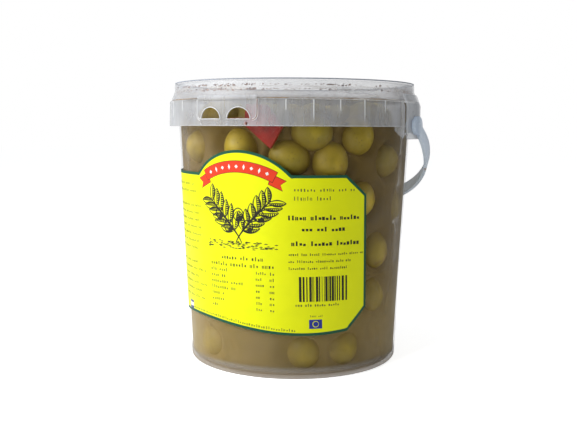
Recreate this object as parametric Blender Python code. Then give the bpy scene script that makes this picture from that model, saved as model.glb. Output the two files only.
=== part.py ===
"""A two-litre clear plastic pail of green olives in brine, shut, with a snap lid and a bail handle.

Metres, +Z up. The origin is the middle of the foot ring's plane. The two ears that carry the bail lie
on the X axis and the pull tab in the collar faces -Y. Azimuths are measured from -Y towards +X.
"""
import math

import bmesh
import bpy
import numpy as np
from mathutils import Matrix, Vector

MM = 0.001

# Pail wall, floor and rim
FOOT_RADIUS = 66.0 * MM
COLLAR_FOOT_HEIGHT = 146.2 * MM
WALL_RADIUS_AT_COLLAR = 73.0 * MM
WALL = 1.2 * MM
FLOOR_TOP = 2.1 * MM
FOOT_RECESS = 0.9 * MM
LEDGE_TOP = 161.5 * MM
LEDGE = 1.2 * MM
RIM_TOP = 171.5 * MM
NECK_RADIUS = 73.75 * MM
SNAP_BEAD_RADIUS = 74.35 * MM
SNAP_BEAD_DROPS = (2.2 * MM, 4.3 * MM, 5.0 * MM)
RIM_BREAK = 0.5 * MM
EDGE_BREAK = 0.4 * MM
FLOOR_EDGE = 3.4 * MM
FLOOR_FILLET = 1.6 * MM
FOOT_FILLET = (0.9 * MM, 1.2 * MM)
FOOT_RING = (5.0 * MM, 5.8 * MM)
RING_STEPS = 48

# Collar that hangs from the ledge, and the ribs behind it
COLLAR_RADIUS_TOP = 78.7 * MM
COLLAR_RADIUS_FOOT = 79.1 * MM
COLLAR = 1.0 * MM
RIB = 1.2 * MM
RIB_PITCH = math.radians(11.1)
FIRST_RIB = math.radians(26.7)
SHORT_RIB_DROP = 7.3 * MM
LONG_RIB_DROP = 12.3 * MM
RIB_EAR_CLEARANCE = 0.9 * RIB_PITCH

# Pull tab
TAB_HALF_ANGLE = math.radians(15.3)
TAB_TOP = 163.4 * MM
TAB_ROOT = 0.6 * MM
TAB_FACES = (0.75 * MM, 0.08 * MM)
TAB_CORNER = (math.radians(1.2), 0.8 * MM)
TAB_STEPS = 8
FINGER_HOLE_ANGLES = (math.radians(-7.2), math.radians(6.7))
FINGER_HOLE_RADIUS = 7.2 * MM
FINGER_HOLE_FOOT = 150.3 * MM
FINGER_HOLE_RISE = 0.9
FINGER_HOLE_STEPS = 12
SLOT = 0.9 * MM
SLOT_FOOT = 149.3 * MM
SLOT_CORNER = 3.6 * MM
SLOT_SWEEP = math.radians(80)
SLOT_STEPS = 5
CUT_INSIDE = 3.0 * MM
SLOT_CUT_INSIDE = 2.2 * MM
CUT_OUTSIDE = 2.0 * MM

# Ears
PIVOT_HEIGHT = 147.0 * MM
EAR_FACE = 82.0 * MM
EAR_PLATE = 1.5 * MM
EAR_HALF_WIDTH = 9.5 * MM
EAR_FOOT = 139.0 * MM
EAR_BEND = 158.5 * MM
EAR_TOP = 165.3 * MM
EAR_LEAN = 0.38
EAR_CHAMFER = 2.2 * MM
FLANGE = 1.2 * MM
FLANGE_INNER = 10.0 * MM
FLANGE_REACH = 80.2 * MM
FLANGE_ROOT = 1.6 * MM
FLANGE_TOP_SLOPE = (1.4 * MM, 2.5 * MM)
FLANGE_FOOT_SLOPE = (1.0 * MM, 2.0 * MM, 0.4 * MM)
EAR_CHAMBER_GAP = 1.4 * MM
EAR_SIDE_GAP = 0.3 * MM
BAR_INSET = 0.3 * MM
UPPER_BAR_DROPS = (1.05 * MM, 0.2 * MM)
UPPER_BAR_REACH = (2.0 * MM, 1.6 * MM)
LOWER_BAR_RISES = (2.7 * MM, 3.7 * MM)
LOWER_BAR_REACH = 0.7 * MM
PIVOT_HOLE_RADIUS = 3.2 * MM
KEYHOLE_WIDTH = 2.2 * MM
KEYHOLE_FOOT = 142.4 * MM
KEYHOLE_STEPS = 20

# Lid
LID_TOP = 173.0 * MM
LID_RADIUS = 75.6 * MM
LID_WALL = 0.9 * MM
LID_PANEL_TOP = 163.4 * MM
LID_PANEL = 1.0 * MM
LID_PLUG_RADIUS = 72.1 * MM
LID_PLUG_WALL = 1.0 * MM
SKIRT_BEND = 167.6 * MM
SKIRT_FOOT = 161.9 * MM
SKIRT_RADIUS = 77.7 * MM
PANEL_FILLET = (1.4 * MM, 1.2 * MM)
LID_INNER_CURVE = ((0.0, 1.6 * MM), (0.9 * MM, 0.4 * MM), (2.0 * MM, 0.0))
LID_OUTER_CURVE = ((1.9 * MM, 0.0), (0.6 * MM, 0.6 * MM), (0.0, 2.0 * MM))
CHANNEL_DROP = 1.15 * MM
CHANNEL_FILLET = (0.8 * MM, 0.9 * MM)
PLUG_FOOT = ((0.1 * MM, 0.6 * MM), (0.8 * MM, 0.0))
SKIRT_STEP = 0.2 * MM

# Bail handle
BAIL_HALF_SPAN = 83.8 * MM
BAIL_STRAIGHT = 9.0 * MM
BAIL_REACH = 91.0 * MM
BAIL_THICKNESS = 2.2 * MM
BAIL_WIDTH = 9.0 * MM
BAIL_WIDTH_AT_EYE = 6.0 * MM
BAIL_CHAMFER = 0.8 * MM
BAIL_STEPS = 30
BAIL_WIDENING = 22.0 * MM
BAIL_START = 1.5 * MM
BAIL_WALL_GAP = 0.3 * MM
EYE_RADIUS = 5.6 * MM
EYE_STEPS = 12
EYE_INNER_FACE = 82.4 * MM
EYE_OUTER_FACE = 85.2 * MM
PIN_RADIUS = 2.8 * MM
PIN_HEAD_RADIUS = 4.4 * MM
PIN_HEAD_FACES = (78.0 * MM, 80.0 * MM)
PIN_HEAD_BREAK = 0.5 * MM
EYE_BREAK = 0.6 * MM
HANG_HALVINGS = 40

# Label, laid out flat: distances along the wall from the middle of its arch
LABEL_MIDDLE = math.radians(4.6)
LABEL_GAP = 0.3 * MM
LABEL_THICKNESS = 0.4 * MM
LABEL_LEFT = -98.0 * MM
LABEL_RIGHT = 75.7 * MM
LABEL_TOP = 119.0 * MM
LABEL_FOOT = 29.4 * MM
LABEL_FOOT_WAVE = 3.0 * MM
LABEL_WAVE_CREST = -38.0 * MM
LABEL_WAVE_LENGTH = 150.0 * MM
LABEL_CORNER = (13.4 * MM, 11.5 * MM)
ARCH_MIDDLE = -0.8 * MM
ARCH_HALF_WIDTH = 31.2 * MM
ARCH_RISE = 13.8 * MM
LABEL_STEP = 6.0 * MM

# Olives
OLIVE_WIDTH = 20.5 * MM
OLIVE_LENGTH = 23.6 * MM
OLIVE_SPACING = 21.3 * MM
CROWDED = 19.6 * MM
OLIVE_SIDES = 6
OLIVE_RINGS = (math.radians(40), math.radians(80), math.radians(116))
OLIVE_ROWS = 9
OLIVES_A_ROW = 16
BOTTOM_ROW = 13.2 * MM
TOP_ROW = 150.3 * MM
WALL_GAP = 0.6 * MM
HEAP_TOP = 161.3 * MM
TOP_RINGS = ((39.5 * MM, 12), (19.5 * MM, 6), (0.0, 1))
CORE_STEPS = 16
CORE_FOOT = 6.0 * MM
CORE_TOP = 149.0 * MM
RELAX_ROUNDS = 80
SEED = 11
SITE_JITTER = (0.03, 1.5 * MM)
PUSH = 0.45
LEAN = 0.4
TOP_DROP = 2.5 * MM
CORE_INSET = 1.0 * MM
LABEL_COVER = 10.0 * MM
# Olives that show best: azimuth in degrees, height in millimetres
SHOWING_OLIVES = (
    (-38, 134), (0, 134), (27.5, 128.2), (39.5, 143), (50, 126), (66.5, 141), (92, 126), (70, 104),
    (113, 97), (85, 72), (82, 45), (-27, 14.5), (36, 14), (61, 15), (114, 13), (21, 24),
)
# Where the lowest olives lie well behind the wall: azimuths in degrees, and how far below and behind
SUNK_STRETCH = (-12, 30)
SUNK_BELOW = 34.0 * MM
SUNK_DEPTH = 8.0 * MM

# Red pepper wedge: corners as azimuth in degrees and height in millimetres
PEPPER_CORNERS = ((18.9, 133.3), (25.0, 146.3), (17.5, 158.0), (7.5, 158.5), (6.3, 147.0))
PEPPER_MIDDLE = math.radians(15.0)
PEPPER_THICKNESS = 3.0 * MM
PEPPER_ROUNDING = 0.6 * MM
PEPPER_CLEARANCE = 9.6 * MM
# Places that the olives keep clear, so that the pepper has room
PEPPER_GHOSTS = ((11.0, 153.0), (19.0, 151.0), (17.0, 143.0))

LINEAR_COLOURS = {
    "pail": (0.62, 0.63, 0.61, 0.45),
    "lid": (0.68, 0.70, 0.71, 0.5),
    "handle": (0.50, 0.55, 0.60, 1.0),
    "olives": (0.24, 0.20, 0.045, 1.0),
    "red_pepper": (0.35, 0.03, 0.03, 1.0),
    "label": (0.80, 0.92, 0.06, 1.0),
}
ROUGHNESS = {"pail": 0.35, "lid": 0.2, "handle": 0.4, "olives": 0.45, "red_pepper": 0.4, "label": 0.4}


def clear_scene():
    """Remove whatever the scene starts with."""
    for item in list(bpy.data.objects):
        bpy.data.objects.remove(item, do_unlink=True)


def finish(name):
    """A Principled material with the named piece's colour."""
    material = bpy.data.materials.new(name)
    material.use_nodes = True
    shader = material.node_tree.nodes["Principled BSDF"]
    colour = LINEAR_COLOURS[name]
    shader.inputs["Base Color"].default_value = colour
    shader.inputs["Alpha"].default_value = colour[3]
    shader.inputs["Roughness"].default_value = ROUGHNESS[name]
    shader.inputs["Metallic"].default_value = 0.0
    return material


def to_object(shape, name):
    """Turn a bmesh into an object with its faces pointing out."""
    bmesh.ops.recalc_face_normals(shape, faces=shape.faces)
    mesh = bpy.data.meshes.new(name)
    shape.to_mesh(mesh)
    shape.free()
    item = bpy.data.objects.new(name, mesh)
    bpy.context.collection.objects.link(item)
    return item


def dress(item, name, smooth_angle=math.radians(35)):
    """Name a finished piece, give it its material and smooth its curved faces."""
    item.name = name
    item.data.name = name
    item.data.materials.clear()
    item.data.materials.append(finish(name))
    item.data.shade_smooth()
    item.data.set_sharp_from_angle(angle=smooth_angle)


def at(azimuth, radius, height):
    """The point at an azimuth from -Y towards +X."""
    return Vector((radius * math.sin(azimuth), -radius * math.cos(azimuth), height))


def outer_radius(height):
    """The tapered wall's outer radius at a height."""
    return FOOT_RADIUS + (WALL_RADIUS_AT_COLLAR - FOOT_RADIUS) * height / COLLAR_FOOT_HEIGHT


def inner_radius(height):
    """The wall's inner radius at a height."""
    return outer_radius(height) - WALL


def collar_radius(height):
    """The collar's outer radius at a height."""
    share = (height - COLLAR_FOOT_HEIGHT) / (LEDGE_TOP - COLLAR_FOOT_HEIGHT)
    return COLLAR_RADIUS_FOOT + (COLLAR_RADIUS_TOP - COLLAR_RADIUS_FOOT) * share


def turned(profile, name, steps=RING_STEPS):
    """Spin a profile of (radius, height) points, both ends on the axis, once round Z."""
    shape = bmesh.new()
    points = [shape.verts.new(at(0.0, radius, height)) for radius, height in profile]
    edges = [shape.edges.new(pair) for pair in zip(points, points[1:])]
    bmesh.ops.spin(
        shape, geom=points + edges, cent=(0, 0, 0), axis=(0, 0, 1), angle=math.tau, steps=steps,
        use_merge=True,
    )
    bmesh.ops.remove_doubles(shape, verts=shape.verts, dist=0.01 * MM)
    return to_object(shape, name)


def prism(outline, offset, name):
    """A solid between an outline of points and the same outline moved by an offset."""
    shape = bmesh.new()
    face = shape.faces.new([shape.verts.new(point) for point in outline])
    grown = bmesh.ops.extrude_face_region(shape, geom=[face], use_keep_orig=True)
    moved = [part for part in grown["geom"] if isinstance(part, bmesh.types.BMVert)]
    bmesh.ops.translate(shape, verts=moved, vec=offset)
    return to_object(shape, name)


def box(low, high, name):
    """A box between two corners."""
    corners = [(low[0], low[1]), (high[0], low[1]), (high[0], high[1]), (low[0], high[1])]
    outline = [(x, y, low[2]) for x, y in corners]
    return prism(outline, (0, 0, high[2] - low[2]), name)


def radial_prism(outline, inside, outside, name):
    """A cutter or plate whose outline of (azimuth, height) points runs between two radii."""
    shape = bmesh.new()
    near = [shape.verts.new(at(azimuth, inside, height)) for azimuth, height in outline]
    far = [shape.verts.new(at(azimuth, outside, height)) for azimuth, height in outline]
    shape.faces.new(near)
    shape.faces.new(far)
    count = len(outline)
    for index in range(count):
        follow = (index + 1) % count
        shape.faces.new((near[index], near[follow], far[follow], far[index]))
    return to_object(shape, name)


def combine(target, tools, operation, solver="EXACT"):
    """Apply one Boolean between a piece and a group of tools, then remove the tools."""
    group = bpy.data.collections.new("tools")
    bpy.context.scene.collection.children.link(group)
    for tool in tools:
        group.objects.link(tool)
    modifier = target.modifiers.new(operation, "BOOLEAN")
    modifier.operation = operation
    modifier.operand_type = "COLLECTION"
    modifier.collection = group
    modifier.solver = solver
    evaluated = target.evaluated_get(bpy.context.evaluated_depsgraph_get())
    mesh = bpy.data.meshes.new_from_object(evaluated)
    target.modifiers.clear()
    target.data = mesh
    for tool in tools:
        bpy.data.objects.remove(tool, do_unlink=True)
    bpy.data.collections.remove(group)
    return target


def largest_shell(item):
    """Keep the outer skin alone, so that sealed hollows are filled and loose scraps go."""
    shape = bmesh.new()
    shape.from_mesh(item.data)
    waiting = set(shape.verts)
    shells = []
    while waiting:
        start = waiting.pop()
        shell = {start}
        front = [start]
        while front:
            vertex = front.pop()
            for edge in vertex.link_edges:
                other = edge.other_vert(vertex)
                if other not in shell:
                    shell.add(other)
                    front.append(other)
        waiting -= shell
        shells.append(shell)
    shells.sort(key=len)
    spare = [vertex for shell in shells[:-1] for vertex in shell]
    bmesh.ops.delete(shape, geom=spare, context="VERTS")
    shape.to_mesh(item.data)
    shape.free()
    return item


def pail_profile():
    """From the floor's middle up the inside, over the rim, round the collar and under the foot."""
    neck_foot = LEDGE_TOP - LEDGE
    bead_top, bead_foot, neck_top = SNAP_BEAD_DROPS
    foot_inset, foot_height = FOOT_FILLET
    ring_inset, recess_inset = FOOT_RING
    return [
        (0.0, FLOOR_TOP),
        (inner_radius(0.0) - FLOOR_FILLET, FLOOR_TOP),
        (inner_radius(FLOOR_EDGE), FLOOR_EDGE),
        (inner_radius(neck_foot), neck_foot),
        (NECK_RADIUS - WALL, RIM_TOP - RIM_BREAK),
        (NECK_RADIUS - WALL + EDGE_BREAK, RIM_TOP),
        (NECK_RADIUS - EDGE_BREAK, RIM_TOP),
        (SNAP_BEAD_RADIUS, RIM_TOP - bead_top),
        (SNAP_BEAD_RADIUS, RIM_TOP - bead_foot),
        (NECK_RADIUS, RIM_TOP - neck_top),
        (NECK_RADIUS, LEDGE_TOP),
        (COLLAR_RADIUS_TOP - EDGE_BREAK, LEDGE_TOP),
        (COLLAR_RADIUS_TOP, LEDGE_TOP - EDGE_BREAK),
        (COLLAR_RADIUS_FOOT, COLLAR_FOOT_HEIGHT),
        (COLLAR_RADIUS_FOOT - COLLAR, COLLAR_FOOT_HEIGHT),
        (COLLAR_RADIUS_TOP - COLLAR, neck_foot),
        (outer_radius(neck_foot), neck_foot),
        (outer_radius(foot_height), foot_height),
        (FOOT_RADIUS - foot_inset, 0.0),
        (FOOT_RADIUS - ring_inset, 0.0),
        (FOOT_RADIUS - recess_inset, FOOT_RECESS),
        (0.0, FOOT_RECESS),
    ]


def ribs():
    """Thin radial gussets under the ledge, long and short in turn, clear of the tab and the ears."""
    pieces = []
    top = LEDGE_TOP - LEDGE / 2
    for turn in range(math.floor((math.pi - FIRST_RIB) / RIB_PITCH) + 1):
        azimuth = FIRST_RIB + turn * RIB_PITCH
        if abs(azimuth - math.pi / 2) < RIB_EAR_CLEARANCE:
            continue
        foot = LEDGE_TOP - (LONG_RIB_DROP if turn % 2 else SHORT_RIB_DROP)
        inside = outer_radius(foot) - WALL / 2
        outside = collar_radius(top) - COLLAR / 2
        for side in (-1, 1):
            rib = box((-RIB / 2, -outside, foot), (RIB / 2, -inside, top), "rib")
            rib.data.transform(Matrix.Rotation(side * azimuth, 4, "Z"))
            pieces.append(rib)
    return pieces


def tab_plate():
    """The raised upper edge of the pull tab, set a little inside the collar's faces."""
    inset, face_inset = TAB_FACES
    corner_angle, corner_drop = TAB_CORNER
    foot = LEDGE_TOP - TAB_ROOT
    inside = COLLAR_RADIUS_TOP - inset
    outside = COLLAR_RADIUS_TOP - face_inset
    level = TAB_HALF_ANGLE - corner_angle
    spots = [(-level + 2 * level * index / TAB_STEPS, TAB_TOP) for index in range(TAB_STEPS + 1)]
    ends = [(side * TAB_HALF_ANGLE, TAB_TOP - corner_drop) for side in (-1, 1)]
    shape = bmesh.new()
    columns = []
    for azimuth, top in ends[:1] + spots + ends[1:]:
        section = ((inside, foot), (outside, foot), (outside, top), (inside, top))
        columns.append([shape.verts.new(at(azimuth, radius, height)) for radius, height in section])
    loft(shape, columns)
    return to_object(shape, "tab_plate")


def loft(shape, rings):
    """Join closed rings of vertices into one body and cap both ends."""
    for ring, following in zip(rings, rings[1:]):
        count = len(ring)
        for index in range(count):
            after = (index + 1) % count
            shape.faces.new((ring[index], ring[after], following[after], following[index]))
    shape.faces.new(rings[0])
    shape.faces.new(rings[-1])


def finger_hole(azimuth):
    """A half-moon cutter with its flat side down."""
    outline = []
    for index in range(FINGER_HOLE_STEPS + 1):
        turn = math.pi * index / FINGER_HOLE_STEPS
        along = FINGER_HOLE_RADIUS * math.cos(turn)
        rise = FINGER_HOLE_RADIUS * FINGER_HOLE_RISE * math.sin(turn)
        outline.append((azimuth + along / COLLAR_RADIUS_TOP, FINGER_HOLE_FOOT + rise))
    return radial_prism(
        outline, COLLAR_RADIUS_TOP - CUT_INSIDE, COLLAR_RADIUS_FOOT + CUT_OUTSIDE, "finger_hole",
    )


def tab_slot():
    """The open slot down the tab's right side and round its lower corner."""
    edge = TAB_HALF_ANGLE * COLLAR_RADIUS_TOP
    corner_height = SLOT_FOOT + SLOT_CORNER
    outer_line = [(edge, TAB_TOP + CUT_OUTSIDE)]
    inner_line = [(edge - SLOT, TAB_TOP + CUT_OUTSIDE)]
    for index in range(SLOT_STEPS + 1):
        turn = SLOT_SWEEP * index / SLOT_STEPS
        for line, radius in ((outer_line, SLOT_CORNER), (inner_line, SLOT_CORNER - SLOT)):
            along = edge - SLOT_CORNER + radius * math.cos(turn)
            line.append((along, corner_height - radius * math.sin(turn)))
    outline = [(along / COLLAR_RADIUS_TOP, height) for along, height in outer_line + inner_line[::-1]]
    return radial_prism(
        outline, COLLAR_RADIUS_TOP - SLOT_CUT_INSIDE, COLLAR_RADIUS_FOOT + CUT_OUTSIDE, "tab_slot",
    )


def ear_chamber():
    """The space cut out of the collar behind an ear plate."""
    half = FLANGE_INNER + EAR_SIDE_GAP
    low = (outer_radius(COLLAR_FOOT_HEIGHT) + EAR_CHAMBER_GAP, -half, COLLAR_FOOT_HEIGHT - CUT_OUTSIDE)
    high = (COLLAR_RADIUS_FOOT + CUT_OUTSIDE, half, LEDGE_TOP - LEDGE)
    return box(low, high, "ear_chamber")


def ear_plate():
    """The upright plate, with its lower corners cut off and its upper part leaning in over the lid."""
    cut = EAR_CHAMFER
    levels = [
        (EAR_FOOT, EAR_HALF_WIDTH - cut), (EAR_FOOT + cut, EAR_HALF_WIDTH), (EAR_BEND, EAR_HALF_WIDTH),
        (EAR_TOP - cut / 2, EAR_HALF_WIDTH), (EAR_TOP, EAR_HALF_WIDTH - cut / 2),
    ]
    shape = bmesh.new()
    rings = []
    for height, wide in levels:
        front = EAR_FACE - EAR_LEAN * max(0.0, height - EAR_BEND)
        back = front - EAR_PLATE
        corners = ((back, -wide), (front, -wide), (front, wide), (back, wide))
        rings.append([shape.verts.new((out, across, height)) for out, across in corners])
    loft(shape, rings)
    return to_object(shape, "ear_plate")


def ear_flange(side):
    """A gusset beside the plate, from the wall out to the plate's back, sloping up to the wall."""
    top_inset, top_slope = FLANGE_TOP_SLOPE
    foot_inset, foot_slope, foot_rise = FLANGE_FOOT_SLOPE
    top = LEDGE_TOP - EDGE_BREAK
    foot = EAR_FOOT + foot_rise
    root = outer_radius(PIVOT_HEIGHT) - FLANGE_ROOT
    near = side * FLANGE_INNER
    outline = [
        (root, near, COLLAR_FOOT_HEIGHT - TAB_ROOT),
        (root, near, top),
        (FLANGE_REACH - top_inset, near, top),
        (FLANGE_REACH, near, top - top_slope),
        (FLANGE_REACH, near, foot + foot_slope),
        (FLANGE_REACH - foot_inset, near, foot),
    ]
    return prism(outline, (0, side * FLANGE, 0), "ear_flange")


def ear_bars():
    """The bar that joins the plate to the ledge, and the one that ties it to both flanges."""
    upper_foot, upper_top = UPPER_BAR_DROPS
    upper_back, upper_front = UPPER_BAR_REACH
    lower_foot, lower_top = LOWER_BAR_RISES
    upper_half = EAR_HALF_WIDTH - BAR_INSET
    lower_half = FLANGE_INNER + FLANGE - BAR_INSET
    upper = box(
        (COLLAR_RADIUS_TOP - upper_back, -upper_half, LEDGE_TOP - upper_foot),
        (EAR_FACE - upper_front, upper_half, LEDGE_TOP - upper_top), "upper_bar",
    )
    lower = box(
        (FLANGE_REACH - LOWER_BAR_REACH, -lower_half, EAR_FOOT + lower_foot),
        (EAR_FACE - LOWER_BAR_REACH, lower_half, EAR_FOOT + lower_top), "lower_bar",
    )
    return [upper, lower]


def pivot_keyhole():
    """The round pivot hole with the short slot under it."""
    half = KEYHOLE_WIDTH / 2
    meet = math.asin(half / PIVOT_HOLE_RADIUS)
    start = -math.pi / 2 + meet
    sweep = math.tau - 2 * meet
    outline = []
    for index in range(KEYHOLE_STEPS + 1):
        turn = start + sweep * index / KEYHOLE_STEPS
        outline.append((PIVOT_HOLE_RADIUS * math.cos(turn), PIVOT_HEIGHT + PIVOT_HOLE_RADIUS * math.sin(turn)))
    outline += [(-half, KEYHOLE_FOOT), (half, KEYHOLE_FOOT)]
    back = EAR_FACE - EAR_PLATE - EDGE_BREAK
    points = [(back, across, height) for across, height in outline]
    return prism(points, (EAR_PLATE + 2 * EDGE_BREAK, 0, 0), "pivot_keyhole")


def mirrored(item):
    """A copy on the other side of the YZ plane, with its faces still pointing out."""
    copy = bpy.data.objects.new(item.name, item.data.copy())
    bpy.context.collection.objects.link(copy)
    copy.data.transform(Matrix.Scale(-1, 4, (1, 0, 0)))
    copy.data.flip_normals()
    return copy


def both_sides(items):
    """The pieces and their mirror images."""
    return items + [mirrored(item) for item in items]


def make_pail():
    """The tub in one moulding, with its collar, ribs, pull tab and ears."""
    pail = turned(pail_profile(), "pail")
    combine(pail, both_sides([ear_chamber()]), "DIFFERENCE")
    ear = [ear_plate(), ear_flange(-1), ear_flange(1)] + ear_bars()
    combine(pail, ribs() + [tab_plate()] + both_sides(ear), "UNION")
    cutters = [finger_hole(azimuth) for azimuth in FINGER_HOLE_ANGLES]
    combine(pail, cutters + [tab_slot()] + both_sides([pivot_keyhole()]), "DIFFERENCE")
    dress(pail, "pail")
    return pail


def lid_profile():
    """From the panel's top out over the raised rim, down the skirt and back under the panel."""
    panel_foot = LID_PANEL_TOP - LID_PANEL
    plug_inside = LID_PLUG_RADIUS - LID_PLUG_WALL
    skirt_inside = LID_RADIUS - LID_WALL
    channel = LID_TOP - CHANNEL_DROP
    fillet_width, fillet_height = PANEL_FILLET
    corner_width, corner_height = CHANNEL_FILLET
    return [
        (0.0, LID_PANEL_TOP),
        (plug_inside - fillet_width, LID_PANEL_TOP),
        (plug_inside, LID_PANEL_TOP + fillet_height),
        *((plug_inside + out, LID_TOP - drop) for out, drop in LID_INNER_CURVE),
        *((LID_RADIUS - inset, LID_TOP - drop) for inset, drop in LID_OUTER_CURVE),
        (LID_RADIUS, SKIRT_BEND),
        (SKIRT_RADIUS, SKIRT_FOOT),
        (SKIRT_RADIUS - LID_WALL, SKIRT_FOOT),
        (skirt_inside, SKIRT_BEND - SKIRT_STEP),
        (skirt_inside, channel - corner_height),
        (skirt_inside - corner_width, channel),
        (LID_PLUG_RADIUS, channel),
        *((LID_PLUG_RADIUS - inset, panel_foot + rise) for inset, rise in PLUG_FOOT),
        (0.0, panel_foot),
    ]


def make_lid():
    """The snap lid, turned in one piece."""
    lid = turned(lid_profile(), "lid")
    dress(lid, "lid")
    return lid


def bail_line(turn):
    """The strap's middle line in the bail's plane, and its outward normal, for a turn from 0 to pi."""
    depth = BAIL_REACH - BAIL_STRAIGHT
    across = BAIL_HALF_SPAN * math.cos(turn)
    back = BAIL_STRAIGHT + depth * math.sin(turn)
    normal = Vector((depth * math.cos(turn), BAIL_HALF_SPAN * math.sin(turn), 0.0)).normalized()
    return Vector((across, back, 0.0)), normal


def bail_section(middle, normal, width):
    """Across the strap: flat towards the pail, with cut corners on the outside."""
    thick = BAIL_THICKNESS / 2
    half = width / 2
    cut = BAIL_CHAMFER
    corners = [
        (thick, half - cut), (thick - cut, half), (-thick, half), (-thick, -half), (thick - cut, -half),
        (thick, cut - half),
    ]
    return [middle + normal * out + Vector((0, 0, side)) for out, side in corners]


def bail_strap():
    """The strap from one eye round to the other, narrower where it leaves the eyes."""
    stations = [(Vector((BAIL_HALF_SPAN, BAIL_START, 0)), Vector((1, 0, 0)))]
    stations += [bail_line(math.pi * index / BAIL_STEPS) for index in range(BAIL_STEPS + 1)]
    stations += [(Vector((-BAIL_HALF_SPAN, BAIL_START, 0)), Vector((-1, 0, 0)))]
    shape = bmesh.new()
    rings = []
    for middle, normal in stations:
        share = min(1.0, middle.y / BAIL_WIDENING)
        width = BAIL_WIDTH_AT_EYE + (BAIL_WIDTH - BAIL_WIDTH_AT_EYE) * share
        rings.append([shape.verts.new(point) for point in bail_section(middle, normal, width)])
    loft(shape, rings)
    return to_object(shape, "handle")


def bail_eye():
    """The round eye, the pin through the ear and the head that keeps it there, turned about X."""
    head_back, head_front = PIN_HEAD_FACES
    profile = [
        (0.0, head_back),
        (PIN_HEAD_RADIUS - PIN_HEAD_BREAK, head_back),
        (PIN_HEAD_RADIUS, head_back + PIN_HEAD_BREAK),
        (PIN_RADIUS, head_front),
        (PIN_RADIUS, EYE_INNER_FACE),
        (EYE_RADIUS, EYE_INNER_FACE),
        (EYE_RADIUS, EYE_OUTER_FACE - EYE_BREAK),
        (EYE_RADIUS - EYE_BREAK, EYE_OUTER_FACE),
        (0.0, EYE_OUTER_FACE),
    ]
    eye = turned(profile, "eye", steps=EYE_STEPS)
    eye.data.transform(Matrix.Rotation(math.pi / 2, 4, "Y"))
    return eye


def rest_angle():
    """How far below level the bail hangs when the lower edge of its strap meets the wall."""
    low = 0.0
    high = math.pi / 2
    inner = BAIL_REACH - BAIL_THICKNESS / 2
    half = BAIL_WIDTH / 2
    for _ in range(HANG_HALVINGS):
        tilt = (low + high) / 2
        out = inner * math.cos(tilt) - half * math.sin(tilt)
        height = PIVOT_HEIGHT - inner * math.sin(tilt) - half * math.cos(tilt)
        if out > outer_radius(height) + BAIL_WALL_GAP:
            low = tilt
        else:
            high = tilt
    return low


def make_handle():
    """The bail, modelled flat in its own plane, then hung behind the pail from the pivot line."""
    handle = bail_strap()
    combine(handle, both_sides([bail_eye()]), "UNION")
    handle.location = (0.0, 0.0, PIVOT_HEIGHT)
    handle.rotation_euler = (-rest_angle(), 0.0, 0.0)
    dress(handle, "handle")
    return handle


def label_top(along):
    """Height of the label's upper edge."""
    corner_width, corner_drop = LABEL_CORNER
    from_end = min(LABEL_RIGHT - along, along - LABEL_LEFT)
    height = LABEL_TOP - corner_drop * max(0.0, 1.0 - from_end / corner_width)
    offset = along - ARCH_MIDDLE
    if abs(offset) < ARCH_HALF_WIDTH:
        radius = (ARCH_HALF_WIDTH ** 2 + ARCH_RISE ** 2) / (2 * ARCH_RISE)
        height += ARCH_RISE - radius + math.sqrt(radius ** 2 - offset ** 2)
    return height


def label_foot(along):
    """Height of the label's lower edge, which runs in one shallow wave."""
    corner_width, corner_drop = LABEL_CORNER
    from_end = min(LABEL_RIGHT - along, along - LABEL_LEFT)
    wave = math.cos(math.tau * (along - LABEL_WAVE_CREST) / LABEL_WAVE_LENGTH)
    return LABEL_FOOT + LABEL_FOOT_WAVE * wave + corner_drop * max(0.0, 1.0 - from_end / corner_width)


def label_stations():
    """Places along the label, with one at each corner of its outline."""
    corner_width = LABEL_CORNER[0]
    breaks = [
        LABEL_LEFT, LABEL_LEFT + corner_width, ARCH_MIDDLE - ARCH_HALF_WIDTH, ARCH_MIDDLE,
        ARCH_MIDDLE + ARCH_HALF_WIDTH, LABEL_RIGHT - corner_width, LABEL_RIGHT,
    ]
    stations = []
    for start, end in zip(breaks, breaks[1:]):
        steps = math.ceil((end - start) / LABEL_STEP)
        stations += [start + (end - start) * index / steps for index in range(steps)]
    return stations + [LABEL_RIGHT]


def make_label():
    """A thin skin that follows the tapered wall, one column of points for each station."""
    shape = bmesh.new()
    rings = []
    for along in label_stations():
        ring = []
        for height, lift in (
            (label_foot(along), 0.0), (label_foot(along), LABEL_THICKNESS),
            (label_top(along), LABEL_THICKNESS), (label_top(along), 0.0),
        ):
            azimuth = LABEL_MIDDLE + along / outer_radius(height)
            ring.append(shape.verts.new(at(azimuth, outer_radius(height) + LABEL_GAP + lift, height)))
        rings.append(ring)
    loft(shape, rings)
    label = to_object(shape, "label")
    dress(label, "label")
    return label


def pepper_plane():
    """The tilted plane just inside the wall that the pepper lies in: its origin and its three axes."""
    low = min(height for _, height in PEPPER_CORNERS) * MM
    high = max(height for _, height in PEPPER_CORNERS) * MM
    slope = (inner_radius(high) - inner_radius(low)) / (high - low)
    out = at(PEPPER_MIDDLE, 1.0, 0.0)
    across = Vector((math.cos(PEPPER_MIDDLE), math.sin(PEPPER_MIDDLE), 0.0))
    up = (Vector((0, 0, 1)) + out * slope).normalized()
    half_width = max(
        abs(math.sin(math.radians(azimuth) - PEPPER_MIDDLE)) for azimuth, _ in PEPPER_CORNERS
    ) * inner_radius(low)
    room = inner_radius(low) - WALL_GAP
    origin = out * math.sqrt(room ** 2 - half_width ** 2) + Vector((0, 0, low))
    return origin, across, up, across.cross(up)


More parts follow.
